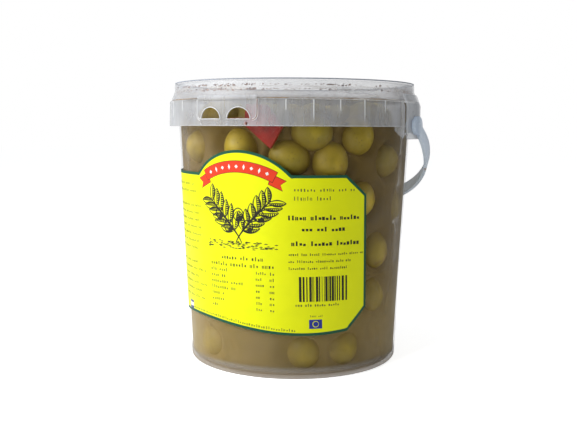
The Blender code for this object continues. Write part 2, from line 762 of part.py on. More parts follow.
def make_red_pepper():
    """A flat wedge of pepper flesh with softened edges."""
    origin, across, up, out = pepper_plane()
    low = min(height for _, height in PEPPER_CORNERS) * MM
    outline = []
    for azimuth, height in PEPPER_CORNERS:
        aside = math.sin(math.radians(azimuth) - PEPPER_MIDDLE) * inner_radius(low)
        outline.append(origin + across * aside + up * (height * MM - low))
    pepper = prism(outline, -out * PEPPER_THICKNESS, "red_pepper")
    shape = bmesh.new()
    shape.from_mesh(pepper.data)
    bmesh.ops.bevel(
        shape, geom=shape.edges, offset=PEPPER_ROUNDING, segments=1, profile=0.5, affect="EDGES",
        clamp_overlap=True,
    )
    shape.to_mesh(pepper.data)
    shape.free()
    dress(pepper, "red_pepper")
    return pepper


def place(azimuth, height, depth=OLIVE_WIDTH / 2):
    """Centre of an olive that lies against the wall."""
    radius = inner_radius(height) - WALL_GAP - depth
    return np.array(at(azimuth, radius, height))


def first_sites(rng):
    """Staggered rows round the wall, less the sites that the showing olives and the pepper take."""
    fixed = [(math.radians(azimuth), height * MM) for azimuth, height in SHOWING_OLIVES]
    ghosts = [(math.radians(azimuth), height * MM) for azimuth, height in PEPPER_GHOSTS]
    free = []
    for row in range(OLIVE_ROWS):
        height = BOTTOM_ROW + (TOP_ROW - BOTTOM_ROW) * row / (OLIVE_ROWS - 1)
        for index in range(OLIVES_A_ROW):
            azimuth = math.tau * (index + 0.5 * (row % 2)) / OLIVES_A_ROW
            turn, rise = rng.uniform(-1.0, 1.0, 2) * SITE_JITTER
            free.append((azimuth + turn, height + rise))
    for taken in fixed + ghosts:
        spot = place(*taken)
        nearest = min(free, key=lambda site: np.linalg.norm(place(*site) - spot))
        free.remove(nearest)
    return fixed, ghosts, free


def gaps(sites):
    """Unit steps and distances between all pairs of sites, with each site far from itself."""
    centres = np.array([place(azimuth, height) for azimuth, height in sites])
    apart = centres[:, None, :] - centres[None, :, :]
    distance = np.linalg.norm(apart, axis=2) + np.eye(len(sites))
    return centres, apart / distance[:, :, None], distance


def relaxed_sites(rng):
    """Push the free sites apart, and drop the most crowded one whenever they have settled."""
    fixed, ghosts, free = first_sites(rng)
    sites = np.array(fixed + ghosts + free)
    held = len(fixed) + len(ghosts)
    crowding = True
    while crowding:
        for _ in range(RELAX_ROUNDS):
            centres, steps, distance = gaps(sites)
            push = np.clip(OLIVE_SPACING - distance, 0.0, None) * (1 - np.eye(len(sites)))
            move = (steps * push[:, :, None]).sum(axis=1) * PUSH
            turn = move[:, 0] * np.cos(sites[:, 0]) + move[:, 1] * np.sin(sites[:, 0])
            radius = np.linalg.norm(centres[:, :2], axis=1)
            sites[held:, 0] += turn[held:] / radius[held:]
            sites[held:, 1] = np.clip(sites[held:, 1] + move[held:, 2], BOTTOM_ROW, TOP_ROW)
        distance = gaps(sites)[2] + np.eye(len(sites))
        nearest = distance[held:].min(axis=1)
        crowding = nearest.min() < CROWDED
        if crowding:
            sites = np.delete(sites, held + int(nearest.argmin()), axis=0)
    return [tuple(site) for site in np.delete(sites, slice(len(fixed), held), axis=0)]


def behind_label(azimuth, height):
    """Whether the label hides an olive from every side."""
    turn = (azimuth - LABEL_MIDDLE + math.pi) % math.tau - math.pi
    along = turn * outer_radius(height)
    if not LABEL_LEFT + LABEL_COVER < along < LABEL_RIGHT - LABEL_COVER:
        return False
    return label_foot(along) + LABEL_COVER < height < label_top(along) - LABEL_COVER


def crosses_pepper(centre):
    """Whether an olive would reach the pepper wedge."""
    origin, across, up, out = pepper_plane()
    low = min(height for _, height in PEPPER_CORNERS) * MM
    flat = Vector(centre) - origin
    spot = Vector((flat.dot(across), flat.dot(up)))
    if abs(flat.dot(out)) > OLIVE_LENGTH:
        return False
    outline = []
    for azimuth, height in PEPPER_CORNERS:
        aside = math.sin(math.radians(azimuth) - PEPPER_MIDDLE) * inner_radius(low)
        outline.append(Vector((aside, height * MM - low)))
    inside = True
    nearest = math.inf
    for start, end in zip(outline, outline[1:] + outline[:1]):
        edge = end - start
        share = min(1.0, max(0.0, (spot - start).dot(edge) / edge.length_squared))
        nearest = min(nearest, (spot - start - edge * share).length)
        inside = inside and edge.cross(spot - start) > 0
    return inside or nearest < PEPPER_CLEARANCE


def olive_turns(rng, azimuth):
    """A rotation that lays an olive's length near the wall's tangent plane, at a random slant."""
    slant = rng.uniform(0.0, math.pi)
    lean = rng.uniform(-LEAN, LEAN)
    across = Matrix.Rotation(azimuth, 3, "Z") @ Vector((1, 0, 0))
    out = at(azimuth, 1.0, 0.0)
    up = Vector((0, 0, 1))
    length = (across * math.cos(slant) + up * math.sin(slant)) * math.cos(lean) + out * math.sin(lean)
    return length.to_track_quat("Z", "Y").to_matrix()


def olive(centre, turn, facing):
    """One low-sided olive, round towards the way it faces and cut flat where the core holds it."""
    shape = bmesh.new()
    size = Matrix.Diagonal((OLIVE_WIDTH / 2, OLIVE_WIDTH / 2, OLIVE_LENGTH / 2))
    stretch = turn @ size @ turn.transposed()
    aim = facing.to_track_quat("Z", "Y").to_matrix()

    def vertex(polar, around):
        flat = math.sin(polar)
        spot = Vector((flat * math.cos(around), flat * math.sin(around), math.cos(polar)))
        return shape.verts.new(stretch @ (aim @ spot) + Vector(centre))

    tip = vertex(0.0, 0.0)
    rings = []
    for number, polar in enumerate(OLIVE_RINGS):
        turns = [(index + number / 2) / OLIVE_SIDES for index in range(OLIVE_SIDES)]
        rings.append([vertex(polar, math.tau * share) for share in turns])
    for index in range(OLIVE_SIDES):
        after = (index + 1) % OLIVE_SIDES
        shape.faces.new((tip, rings[0][index], rings[0][after]))
        for ring, following in zip(rings, rings[1:]):
            shape.faces.new((ring[index], following[index], ring[after]))
            shape.faces.new((ring[after], following[index], following[after]))
    shape.faces.new(rings[-1])
    return to_object(shape, "olive")


def reach(turn, direction):
    """How far an olive reaches from its centre in a direction."""
    local = turn.transposed() @ direction
    semi = Vector((OLIVE_WIDTH / 2, OLIVE_WIDTH / 2, OLIVE_LENGTH / 2))
    return Vector((local.x * semi.x, local.y * semi.y, local.z * semi.z)).length


def settled(turn, height):
    """An olive's height once it is clear of the floor and of the brine's surface."""
    room = reach(turn, Vector((0, 0, 1)))
    return min(max(height, FLOOR_TOP + WALL_GAP + room), HEAP_TOP - room)


def sunk(azimuth, height):
    """How far an olive lies behind the wall because the brine hides it there."""
    low, high = (math.radians(edge) for edge in SUNK_STRETCH)
    turn = (azimuth + math.pi) % math.tau - math.pi
    return SUNK_DEPTH if low < turn < high and height < SUNK_BELOW else 0.0


def wall_olives(rng):
    """The olives that lie along the wall and show through it."""
    pieces = []
    for azimuth, height in relaxed_sites(rng):
        turn = olive_turns(rng, azimuth)
        out = at(azimuth, 1.0, 0.0)
        height = settled(turn, height)
        centre = place(azimuth, height, reach(turn, out) + sunk(azimuth, height))
        if behind_label(azimuth, height) or crosses_pepper(centre):
            continue
        facing = out + Vector((0, 0, 1)) if height > TOP_ROW - OLIVE_WIDTH / 3 else out
        pieces.append(olive(centre, turn, facing))
    return pieces


def top_olives(rng):
    """The olives that show through the lid, in rings inside the wall's own."""
    pieces = []
    for radius, count in TOP_RINGS:
        for index in range(count):
            azimuth = math.tau * (index + 0.5) / count
            turn = olive_turns(rng, azimuth)
            height = settled(turn, TOP_ROW - rng.uniform(0.0, TOP_DROP))
            pieces.append(olive(at(azimuth, radius, height), turn, Vector((0, 0, 1))))
    return pieces


def core_profile():
    """The heap's inside, as wide as the ring of olive centres."""
    inset = WALL_GAP + OLIVE_WIDTH / 2
    return [
        (0.0, CORE_TOP),
        (inner_radius(CORE_TOP) - inset - CORE_INSET, CORE_TOP),
        (inner_radius(CORE_FOOT) - inset, CORE_FOOT),
        (0.0, CORE_FOOT),
    ]


def make_olives():
    """The heap: a core with the showing olives fused on."""
    rng = np.random.default_rng(SEED)
    heap = turned(core_profile(), "olives", steps=CORE_STEPS)
    combine(heap, wall_olives(rng) + top_olives(rng), "UNION")
    largest_shell(heap)
    dress(heap, "olives")
    return heap


def main():
    """Make every piece of the pack."""
    clear_scene()
    make_pail()
    make_lid()
    make_handle()
    make_label()
    make_red_pepper()
    make_olives()


main()
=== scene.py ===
"""A shut plastic pail of green olives in cloudy brine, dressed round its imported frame.

Metres, +Z up. The pull tab faces -Y and the bail's pivots lie on the X axis. Azimuths run from -Y towards +X.
"""
import logging
from contextlib import contextmanager
from dataclasses import dataclass, field
from enum import Enum
from math import asin, atan2, ceil, cos, floor, inf, pi, radians, sin, sqrt, tau
from typing import Callable, Iterator, Sequence

import bmesh
import bpy
import numpy as np
from mathutils import Matrix, Vector


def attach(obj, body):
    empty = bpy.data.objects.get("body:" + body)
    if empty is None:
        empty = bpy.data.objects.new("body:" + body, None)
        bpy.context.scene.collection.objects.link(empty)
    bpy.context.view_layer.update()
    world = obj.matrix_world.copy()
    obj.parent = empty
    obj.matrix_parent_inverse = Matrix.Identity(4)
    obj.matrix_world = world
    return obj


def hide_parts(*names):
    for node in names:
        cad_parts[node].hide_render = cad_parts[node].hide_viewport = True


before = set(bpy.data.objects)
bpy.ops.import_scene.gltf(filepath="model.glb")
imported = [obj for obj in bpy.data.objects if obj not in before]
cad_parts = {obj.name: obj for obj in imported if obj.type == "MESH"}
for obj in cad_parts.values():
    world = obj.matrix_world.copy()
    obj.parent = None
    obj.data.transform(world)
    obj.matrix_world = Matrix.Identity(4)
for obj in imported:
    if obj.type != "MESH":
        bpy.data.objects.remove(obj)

MM = 0.001
Piece = bpy.types.Object
Material = bpy.types.Material
Socket = bpy.types.NodeSocket
Point = tuple[float, float]
Colour = tuple[float, float, float, float]
LOG = logging.getLogger("pail")
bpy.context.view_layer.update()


class Body(Enum):
    """The bodies that pieces ride on."""

    TUB = "tub"
    BAIL = "bail"


class Slot(Enum):
    """The record's material slots."""

    PAIL = "pail_plastic"
    LID = "lid_plastic"
    HANDLE = "handle_plastic"
    OLIVES = "olives"
    PEPPER = "red_pepper"
    LABEL = "label_film"


class Pick(Enum):
    """What an edit works on."""

    VERTICES = "VERT"
    EDGES = "EDGE"
    FACES = "FACE"


def paint(red: int, green: int, blue: int, strength: float = 1.0) -> Colour:
    """A linear colour from display values of 0 to 255.

    Args:
        red: display red.
        green: display green.
        blue: display blue.
        strength: factor on the linear colour.

    Returns:
        The linear colour with full alpha.
    """
    linear = []
    for value in (red, green, blue):
        share = value / 255
        low = share / 12.92
        high = ((share + 0.055) / 1.055) ** 2.4
        linear.append(strength * (low if share <= 0.04045 else high))
    return (linear[0], linear[1], linear[2], 1.0)


def ease(share: float) -> float:
    """A share held between 0 and 1, with a smooth start and end."""
    held = min(1.0, max(0.0, share))
    return held * held * (3 - 2 * held)


def within_turn(angle: float) -> float:
    """An angle, or an array of them, brought between minus and plus half a turn."""
    return (angle + pi) % tau - pi


def at(azimuth: float, radius: float, height: float) -> Vector:
    """The point at an azimuth from -Y towards +X."""
    return Vector((radius * sin(azimuth), -radius * cos(azimuth), height))


@dataclass(frozen=True)
class Wall:
    """The tapered wall that everything else is set out from."""

    foot_radius: float = 66.0 * MM
    collar_foot: float = 146.2 * MM
    radius_at_collar: float = 73.0 * MM
    thickness: float = 1.2 * MM

    def taper(self) -> float:
        """How much the radius grows for each metre of height."""
        return (self.radius_at_collar - self.foot_radius) / self.collar_foot

    def outer(self, height: float) -> float:
        """The outer radius at a height."""
        return self.foot_radius + self.taper() * height

    def inner(self, height: float) -> float:
        """The inner radius at a height."""
        return self.outer(height) - self.thickness


WALL = Wall()


# ---------------------------------------------------------------- the bench


def pick(*pieces: Piece) -> None:
    """Select these pieces alone, with the last one active."""
    bpy.ops.object.select_all(action="DESELECT")
    for piece in pieces:
        piece.select_set(True)
    bpy.context.view_layer.objects.active = pieces[-1]


@contextmanager
def editing(piece: Piece) -> Iterator[None]:
    """Hold a piece in edit mode, with everything in it selected at the start."""
    pick(piece)
    bpy.ops.object.mode_set(mode="EDIT")
    bpy.ops.mesh.select_mode(type=Pick.VERTICES.value)
    bpy.ops.mesh.select_all(action="SELECT")
    try:
        yield
    finally:
        bpy.ops.object.mode_set(mode="OBJECT")


def choose(piece: Piece, kind: Pick, test: Callable[..., bool]) -> None:
    """In edit mode, select the parts of a piece that pass a test.

    Args:
        piece: the piece in edit mode.
        kind: vertices, edges or faces.
        test: takes one part and says whether it is wanted.
    """
    bpy.ops.mesh.select_mode(type=kind.value)
    bpy.ops.mesh.select_all(action="DESELECT")
    shape = bmesh.from_edit_mesh(piece.data)
    parts = {Pick.VERTICES: shape.verts, Pick.EDGES: shape.edges, Pick.FACES: shape.faces}[kind]
    for part in parts:
        part.select_set(bool(test(part)))
    shape.select_flush_mode()
    bmesh.update_edit_mesh(piece.data)


def newest(name: str) -> Piece:
    """Name the piece that was just added and put its place into its mesh.

    Args:
        name: the piece's name.

    Returns:
        The piece, at the origin, unturned and unscaled.
    """
    piece = bpy.context.active_object
    piece.name = name
    piece.data.name = name
    pick(piece)
    bpy.ops.object.transform_apply(location=True, rotation=True, scale=True)
    return piece


def placed(name: str, data: bpy.types.ID) -> Piece:
    """A new object in the scene that holds this data."""
    piece = bpy.data.objects.new(name, data)
    bpy.context.collection.objects.link(piece)
    return piece


def discard(*pieces: Piece) -> None:
    """Remove pieces that were only models or tools."""
    for piece in pieces:
        bpy.data.objects.remove(piece, do_unlink=True)


def face_out() -> None:
    """In edit mode, select everything and turn its faces outwards."""
    bpy.ops.mesh.select_all(action="SELECT")
    bpy.ops.mesh.normals_make_consistent(inside=False)


def spin(steps: int, sweep: float) -> None:
    """In edit mode, spin what is selected round Z and weld it where it meets itself."""
    bpy.ops.mesh.spin(steps=steps, angle=-sweep, center=(0, 0, 0), axis=(0, 0, 1))
    bpy.ops.mesh.select_all(action="SELECT")
    bpy.ops.mesh.remove_doubles(threshold=0.005 * MM)
    face_out()


def runs_along(edge: bmesh.types.BMEdge, axis: int) -> bool:
    """Whether an edge runs along an axis."""
    step = edge.verts[1].co - edge.verts[0].co
    return abs(step[axis]) > 0.9 * step.length


def turned(
    name: str, profile: Sequence[Point], steps: int, sweep: float = tau, start: float = 0.0,
    rounding: float = 0.0,
) -> Piece:
    """Draw a profile by extruding a vertex from point to point, and spin it round Z.

    Args:
        name: the piece's name.
        profile: (radius, height) points.
        steps: steps of the spin.
        sweep: how far the spin goes.
        start: azimuth where the spin starts.
        rounding: radius that softens the profile's corners, or nothing.

    Returns:
        The turned shell, or an arc whose ends are open.
    """
    first = at(start, profile[0][0], profile[0][1])
    bpy.ops.mesh.primitive_plane_add(size=MM, location=first)
    piece = newest(name)
    with editing(piece):
        bpy.ops.mesh.merge(type="CENTER")
        for here, there in zip(profile, profile[1:]):
            step = at(start, there[0], there[1]) - at(start, here[0], here[1])
            bpy.ops.mesh.extrude_region_move(TRANSFORM_OT_translate={"value": step})
        if rounding:
            choose(piece, Pick.VERTICES, lambda vertex: len(vertex.link_edges) == 2)
            bpy.ops.mesh.bevel(offset=rounding, segments=3, affect="VERTICES", clamp_overlap=True)
        bpy.ops.mesh.select_all(action="SELECT")
        spin(steps, sweep)
    return piece


def slab(name: str, outline: Sequence[Vector], offset: Vector) -> Piece:
    """Cut a plate to an outline and extrude it to its thickness.

    Args:
        name: the piece's name.
        outline: corners of the plate's first face.
        offset: from the first face to the second.

    Returns:
        The plate, with its faces pointing out.
    """
    bpy.ops.mesh.primitive_circle_add(vertices=len(outline), radius=MM, fill_type="NGON")
    piece = newest(name)
    for vertex, corner in zip(piece.data.vertices, outline):
        vertex.co = corner
    with editing(piece):
        bpy.ops.mesh.extrude_region_move(TRANSFORM_OT_translate={"value": offset})
        face_out()
    return piece


def block(name: str, low: Sequence[float], high: Sequence[float]) -> Piece:
    """A cube primitive added between two corners."""
    middle = [(a + b) / 2 for a, b in zip(low, high)]
    size = [b - a for a, b in zip(low, high)]
    bpy.ops.mesh.primitive_cube_add(size=1.0, location=middle, scale=size)
    return newest(name)


def soften(piece: Piece, width: float, segments: int = 2, limit: float = 30.0) -> None:
    """Round a piece's edges with an applied bevel.

    Args:
        piece: the piece.
        width: width of the rounding.
        segments: steps across it.
        limit: least angle in degrees of an edge that is rounded.
    """
    pick(piece)
    modifier = piece.modifiers.new("rounding", "BEVEL")
    modifier.width = width
    modifier.segments = segments
    modifier.limit_method = "ANGLE"
    modifier.angle_limit = radians(limit)
    bpy.ops.object.modifier_apply(modifier=modifier.name)


def carve(piece: Piece, tools: Sequence[Piece], operation: str) -> None:
    """Apply one Boolean between a piece and its tools, and remove the tools.

    Args:
        piece: the piece that is changed.
        tools: what is fused on or cut out.
        operation: UNION or DIFFERENCE.
    """
    group = bpy.data.collections.new("tools")
    bpy.context.scene.collection.children.link(group)
    for tool in tools:
        group.objects.link(tool)
    modifier = piece.modifiers.new("joint", "BOOLEAN")
    modifier.operation = operation
    modifier.operand_type = "COLLECTION"
    modifier.collection = group
    modifier.solver = "EXACT"
    pick(piece)
    bpy.ops.object.modifier_apply(modifier=modifier.name)
    discard(*tools)
    bpy.data.collections.remove(group)


def ring(radius: float, height: float, count: int = 240) -> list[Vector]:
    """Points of a level circle round the pail's axis."""
    return [at(tau * index / count, radius, height) for index in range(count)]


def copied(piece: Piece, move: Matrix) -> Piece:
    """A copy with its own mesh, moved inside that mesh.

    Args:
        piece: what is copied.
        move: where the copy goes.

    Returns:
        The copy, with its faces still pointing out.
    """
    twin = placed(piece.name, piece.data.copy())
    twin.data.transform(move)
    if move.determinant() < 0:
        twin.data.flip_normals()
    return twin


def joined(name: str, pieces: Sequence[Piece]) -> Piece:
    """Make one piece of several.

    Args:
        name: the new piece's name.
        pieces: the pieces, which it takes in.

    Returns:
        The joined piece.
    """
    pick(*pieces)
    bpy.ops.object.join()
    piece = bpy.context.active_object
    piece.name = name
    piece.data.name = name
    return piece


def both_sides(parts: list[Piece]) -> list[Piece]:
    """The parts and their mirror images on the other side of the pail."""
    return parts + [copied(part, Matrix.Scale(-1, 4, (1, 0, 0))) for part in parts]


def bead(name: str, points: Sequence[Vector], radius: float, closed: bool = False, taper: bool = False) -> Piece:
    """A thin round bead along a line, made from a bevelled curve.

    Args:
        name: the piece's name.
        points: the line.
        radius: the bead's radius.
        closed: whether the line returns to its start.
        taper: whether the bead thins to a point along its last part.

    Returns:
        The bead as a mesh.
    """
    curve = bpy.data.curves.new(name, "CURVE")
    curve.dimensions = "3D"
    curve.bevel_depth = radius
    curve.bevel_resolution = 2
    curve.use_fill_caps = True
    spline = curve.splines.new("POLY")
    spline.points.add(len(points) - 1)
    for index, (spot, point) in enumerate(zip(spline.points, points)):
        spot.co = (*point, 1.0)
        spot.radius = min(1.0, 0.1 + 2.2 * (1 - index / (len(points) - 1))) if taper else 1.0
    spline.use_cyclic_u = closed
    pick(placed(name, curve))
    bpy.ops.object.convert(target="MESH")
    return bpy.context.active_object


def hand_over(
    piece: Piece, materials: Sequence[Material], body: Body,
    replaces: Sequence[str] = (), smooth: float = 35.0,
) -> Piece:
    """Shade a finished piece, give it its materials and put it on its body.

    Args:
        piece: the finished piece.
        materials: its materials; one that already has several keeps them.
        body: the body that it rides on.
        replaces: the CAD nodes that it stands for.
        smooth: greatest angle in degrees between faces that shade as one.

    Returns:
        The piece.
    """
    if len(materials) == 1:
        piece.data.materials.clear()
        piece.data.materials.append(materials[0])
    pick(piece)
    bpy.ops.object.shade_smooth_by_angle(angle=radians(smooth))
    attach(piece, body.value)
    if replaces:
        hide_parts(*replaces)
    LOG.info("%s: %d faces on %s", piece.name, len(piece.data.polygons), body.value)
    return piece


# ---------------------------------------------------------------- finishes


class Sketch:
    """A shorthand for drawing one material's nodes on Object coordinates."""

    def __init__(self, name: str) -> None:
        """Start a Principled material with this name."""
        self.material = bpy.data.materials.new(name)
        self.material.use_nodes = True
        self.tree = self.material.node_tree
        self.shader = self.tree.nodes["Principled BSDF"]
        self.place = self.tree.nodes.new("ShaderNodeTexCoord").outputs["Object"]

    def feed(self, socket: Socket, value: object) -> None:
        """Link a socket to another, or set its value."""
        if isinstance(value, Socket):
            self.tree.links.new(value, socket)
        else:
            socket.default_value = value

    def set(self, **values: object) -> None:
        """Set the shader's sockets by name, with underscores for spaces."""
        for name, value in values.items():
            self.feed(self.shader.inputs[name.replace("_", " ")], value)

    def math(self, operation: str, first: object, second: object = 0.0, clamp: bool = False) -> Socket:
        """Combine two numbers."""
        node = self.tree.nodes.new("ShaderNodeMath")
        node.operation = operation
        node.use_clamp = clamp
        self.feed(node.inputs[0], first)
        self.feed(node.inputs[1], second)
        return node.outputs[0]

    def plus(self, first: object, second: object, clamp: bool = False) -> Socket:
        """Add two numbers."""
        return self.math("ADD", first, second, clamp)

    def minus(self, first: object, second: object, clamp: bool = False) -> Socket:
        """Take the second number from the first."""
        return self.math("SUBTRACT", first, second, clamp)

    def times(self, first: object, second: object) -> Socket:
        """Multiply two numbers."""
        return self.math("MULTIPLY", first, second)

    def mix(self, share: object, first: object, second: object) -> Socket:
        """Mix two colours by a share of the second."""
        node = self.tree.nodes.new("ShaderNodeMix")
        node.data_type = "RGBA"
        self.feed(node.inputs[0], share)
        self.feed(node.inputs[6], first)
        self.feed(node.inputs[7], second)
        return node.outputs[2]

    def spread(
        self, value: object, low: float, high: float, start: float = 0.0, end: float = 1.0,
    ) -> Socket:
        """Turn a range of a value smoothly into another range.

        Args:
            value: the number.
            low: where it starts to change.
            high: where it stops.
            start: the result at low.
            end: the result at high.

        Returns:
            The result.
        """
        node = self.tree.nodes.new("ShaderNodeMapRange")
        node.interpolation_type = "SMOOTHSTEP"
        self.feed(node.inputs["Value"], value)
        for name, number in (("From Min", low), ("From Max", high), ("To Min", start), ("To Max", end)):
            node.inputs[name].default_value = number
        return node.outputs["Result"]

    def noise(self, grain: float, detail: float = 3.0, stretch: float = 1.0) -> Socket:
        """Cloudy noise.

        Args:
            grain: size of its clouds in metres.
            detail: octaves of finer clouds.
            stretch: how many times as tall as wide the clouds are.

        Returns:
            The noise, from 0 to 1.
        """
        mapping = self.tree.nodes.new("ShaderNodeMapping")
        mapping.inputs["Scale"].default_value = (1 / grain, 1 / grain, 1 / (grain * stretch))
        self.feed(mapping.inputs["Vector"], self.place)
        node = self.tree.nodes.new("ShaderNodeTexNoise")
        node.inputs["Scale"].default_value = 1.0
        node.inputs["Detail"].default_value = detail
        self.feed(node.inputs["Vector"], mapping.outputs["Vector"])
        return node.outputs["Fac"]

    def cells(self, grain: float) -> Socket:
        """Distance to the nearest of many scattered points, in shares of their spacing."""
        node = self.tree.nodes.new("ShaderNodeTexVoronoi")
        node.inputs["Scale"].default_value = 1 / grain
        self.feed(node.inputs["Vector"], self.place)
        return node.outputs["Distance"]

    def height(self) -> Socket:
        """The height above the floor, in metres."""
        node = self.tree.nodes.new("ShaderNodeSeparateXYZ")
        self.feed(node.inputs[0], self.place)
        return node.outputs["Z"]

    def radius(self) -> Socket:
        """The distance from the pail's axis, in metres."""
        flat = self.tree.nodes.new("ShaderNodeVectorMath")
        flat.operation = "MULTIPLY"
        flat.inputs[1].default_value = (1.0, 1.0, 0.0)
        self.feed(flat.inputs[0], self.place)
        length = self.tree.nodes.new("ShaderNodeVectorMath")
        length.operation = "LENGTH"
        self.feed(length.inputs[0], flat.outputs["Vector"])
        return length.outputs["Value"]

    def near(self, spot: Sequence[float], radius: float) -> Socket:
        """1 at a spot and 0 from a ragged radius round it on."""
        node = self.tree.nodes.new("ShaderNodeVectorMath")
        node.operation = "DISTANCE"
        node.inputs[1].default_value = spot
        self.feed(node.inputs[0], self.place)
        ragged = self.times(self.noise(1.2 * MM, 3.0), radius)
        return self.spread(self.plus(node.outputs["Value"], ragged), 0.9 * radius, 1.4 * radius, 1.0, 0.0)

    def past_wall(self) -> Socket:
        """How far a point lies outside the wall's outer face, in metres."""
        line = self.math("MULTIPLY_ADD", self.height(), WALL.taper())
        line.node.inputs[2].default_value = WALL.foot_radius
        return self.minus(self.radius(), line)

    def grazing(self, power: float) -> Socket:
        """0 where a surface faces the eye and 1 where it turns away, for the haze of clear plastic."""
        node = self.tree.nodes.new("ShaderNodeLayerWeight")
        node.inputs["Blend"].default_value = 0.5
        return self.math("POWER", node.outputs["Facing"], power)

    def tint(self, name: str) -> Socket:
        """A piece's own number attribute."""
        node = self.tree.nodes.new("ShaderNodeAttribute")
        node.attribute_name = name
        return node.outputs["Fac"]

    def bump(self, height: object, depth: float, strength: float = 1.0) -> None:
        """Raise and sink the surface by a height from 0 to 1 times a depth in metres."""
        node = self.tree.nodes.new("ShaderNodeBump")
        node.inputs["Strength"].default_value = strength
        node.inputs["Distance"].default_value = depth
        self.feed(node.inputs["Height"], height)
        self.feed(self.shader.inputs["Normal"], node.outputs["Normal"])


@dataclass(frozen=True)
class HazyPlastic:
    """Clear moulded plastic with some milkiness, thicker in the collar than in the wall."""

    name: str
    tint: Colour
    shade: Colour
    wall_haze: float
    collar_haze: float
    edge_haze: float
    roughness: float = 0.24
    ear_haze: float = 0.0
    foot_haze: float = 0.0
    foot_tint: Colour = paint(160, 143, 118)
    stain_spot: tuple[float, float, float] = (0.0, 0.0, 0.0)
    stain_radius: float = 0.0

    def material(self) -> Material:
        """Draw the finish's nodes."""
        sketch = Sketch(self.name)
        clouds = sketch.noise(26 * MM, 4.0)
        streaks = sketch.noise(4 * MM, 5.0, 7.0)
        collar = sketch.spread(sketch.past_wall(), 1.2 * MM, 2.4 * MM)
        haze = sketch.times(collar, self.collar_haze - self.wall_haze)
        haze = sketch.plus(haze, self.wall_haze)
        haze = sketch.plus(haze, sketch.spread(clouds, 0.3, 0.75, -0.015, 0.02))
        colour = sketch.mix(sketch.spread(streaks, 0.3, 0.7), self.shade, self.tint)
        if self.ear_haze:
            haze = sketch.plus(haze, sketch.spread(sketch.past_wall(), 7.0 * MM, 8.6 * MM, 0.0, self.ear_haze))
        if self.foot_haze:
            foot = sketch.spread(sketch.height(), 2.5 * MM, 8.0 * MM, 1.0, 0.0)
            haze = sketch.plus(haze, sketch.times(foot, self.foot_haze))
            colour = sketch.mix(foot, colour, self.foot_tint)
        if self.stain_radius:
            stain = sketch.near(self.stain_spot, self.stain_radius)
            colour = sketch.mix(stain, colour, paint(150, 112, 84))
        clear = sketch.minus(1.0, haze)
        edge = sketch.times(sketch.grazing(3.0), self.edge_haze)
        alpha = sketch.plus(haze, sketch.times(clear, edge), clamp=True)
        sketch.set(
            Base_Color=colour, Alpha=alpha,
            Roughness=sketch.spread(clouds, 0.2, 0.8, self.roughness, self.roughness + 0.12), IOR=1.49,
        )
        sketch.bump(streaks, 0.03 * MM, 0.25)
        return sketch.material


@dataclass(frozen=True)
class Murk:
    """The cloudy brine: its colour by height, and how soon it hides what lies in it."""

    top: Colour = paint(120, 98, 48)
    foot: Colour = paint(158, 136, 84)
    sight_top: float = 6.4 * MM
    sight_foot: float = 3.6 * MM
    clear_top: float = 0.9
    clear_foot: float = 0.82
    slant: float = 1.9
    clear_above: float = 84 * MM
    thick_below: float = 22 * MM
    surface: float = 161.0 * MM

    def colour(self, sketch: Sketch) -> Socket:
        """The brine's colour at a point."""
        level = sketch.spread(sketch.height(), self.thick_below, self.clear_above)
        clouds = sketch.spread(sketch.noise(17 * MM, 4.0), 0.25, 0.8, -0.18, 0.18)
        return sketch.mix(sketch.plus(level, clouds, clamp=True), self.foot, self.top)

    def hidden(self, sketch: Sketch) -> Socket:
        """How much of what lies at a point the brine in front of it hides, from 0 to 1."""
        inside = sketch.times(sketch.past_wall(), -1.0)
        inside = sketch.minus(inside, WALL.thickness)
        under = sketch.minus(self.surface, sketch.height())
        depth = sketch.math("MINIMUM", inside, under)
        rate = sketch.spread(
            sketch.height(), self.thick_below, self.clear_above, -1 / self.sight_foot, -1 / self.sight_top,
        )
        through = sketch.math("EXPONENT", sketch.times(depth, rate))
        return sketch.minus(1.0, through, clamp=True)

    def veil(self, sketch: Sketch, colour: object) -> Socket:
        """A colour as it looks through the brine in front of it."""
        return sketch.mix(self.hidden(sketch), colour, self.colour(sketch))

    def heart(self) -> Material:
        """The brine where nothing more shows through it."""
        sketch = Sketch("murk_heart")
        sketch.set(Base_Color=self.colour(sketch), Roughness=0.8)
        sketch.bump(sketch.noise(6 * MM, 3.0), 0.4 * MM, 0.3)
        return sketch.material

    def skin(self) -> Material:
        """The brine's outer face, which hides more where the eye looks along it."""
        sketch = Sketch("brine")
        level = sketch.spread(sketch.height(), self.thick_below, self.clear_above, self.clear_foot, self.clear_top)
        clouds = sketch.spread(sketch.noise(19 * MM, 4.0), 0.3, 0.75, -0.06, 0.06)
        through = sketch.plus(level, clouds, clamp=True)
        facing = sketch.minus(1.0, sketch.grazing(1.0))
        longer = sketch.math("POWER", sketch.math("MAXIMUM", facing, 0.02), -self.slant)
        alpha = sketch.minus(1.0, sketch.math("POWER", through, longer), clamp=True)
        sketch.set(
            Base_Color=self.colour(sketch), Alpha=alpha,
            Roughness=sketch.spread(clouds, -0.1, 0.1, 0.25, 0.45), IOR=1.34, Specular_IOR_Level=0.2,
        )
        sketch.bump(sketch.noise(9 * MM, 2.0), 0.1 * MM, 0.2)
        return sketch.material


MURK = Murk()


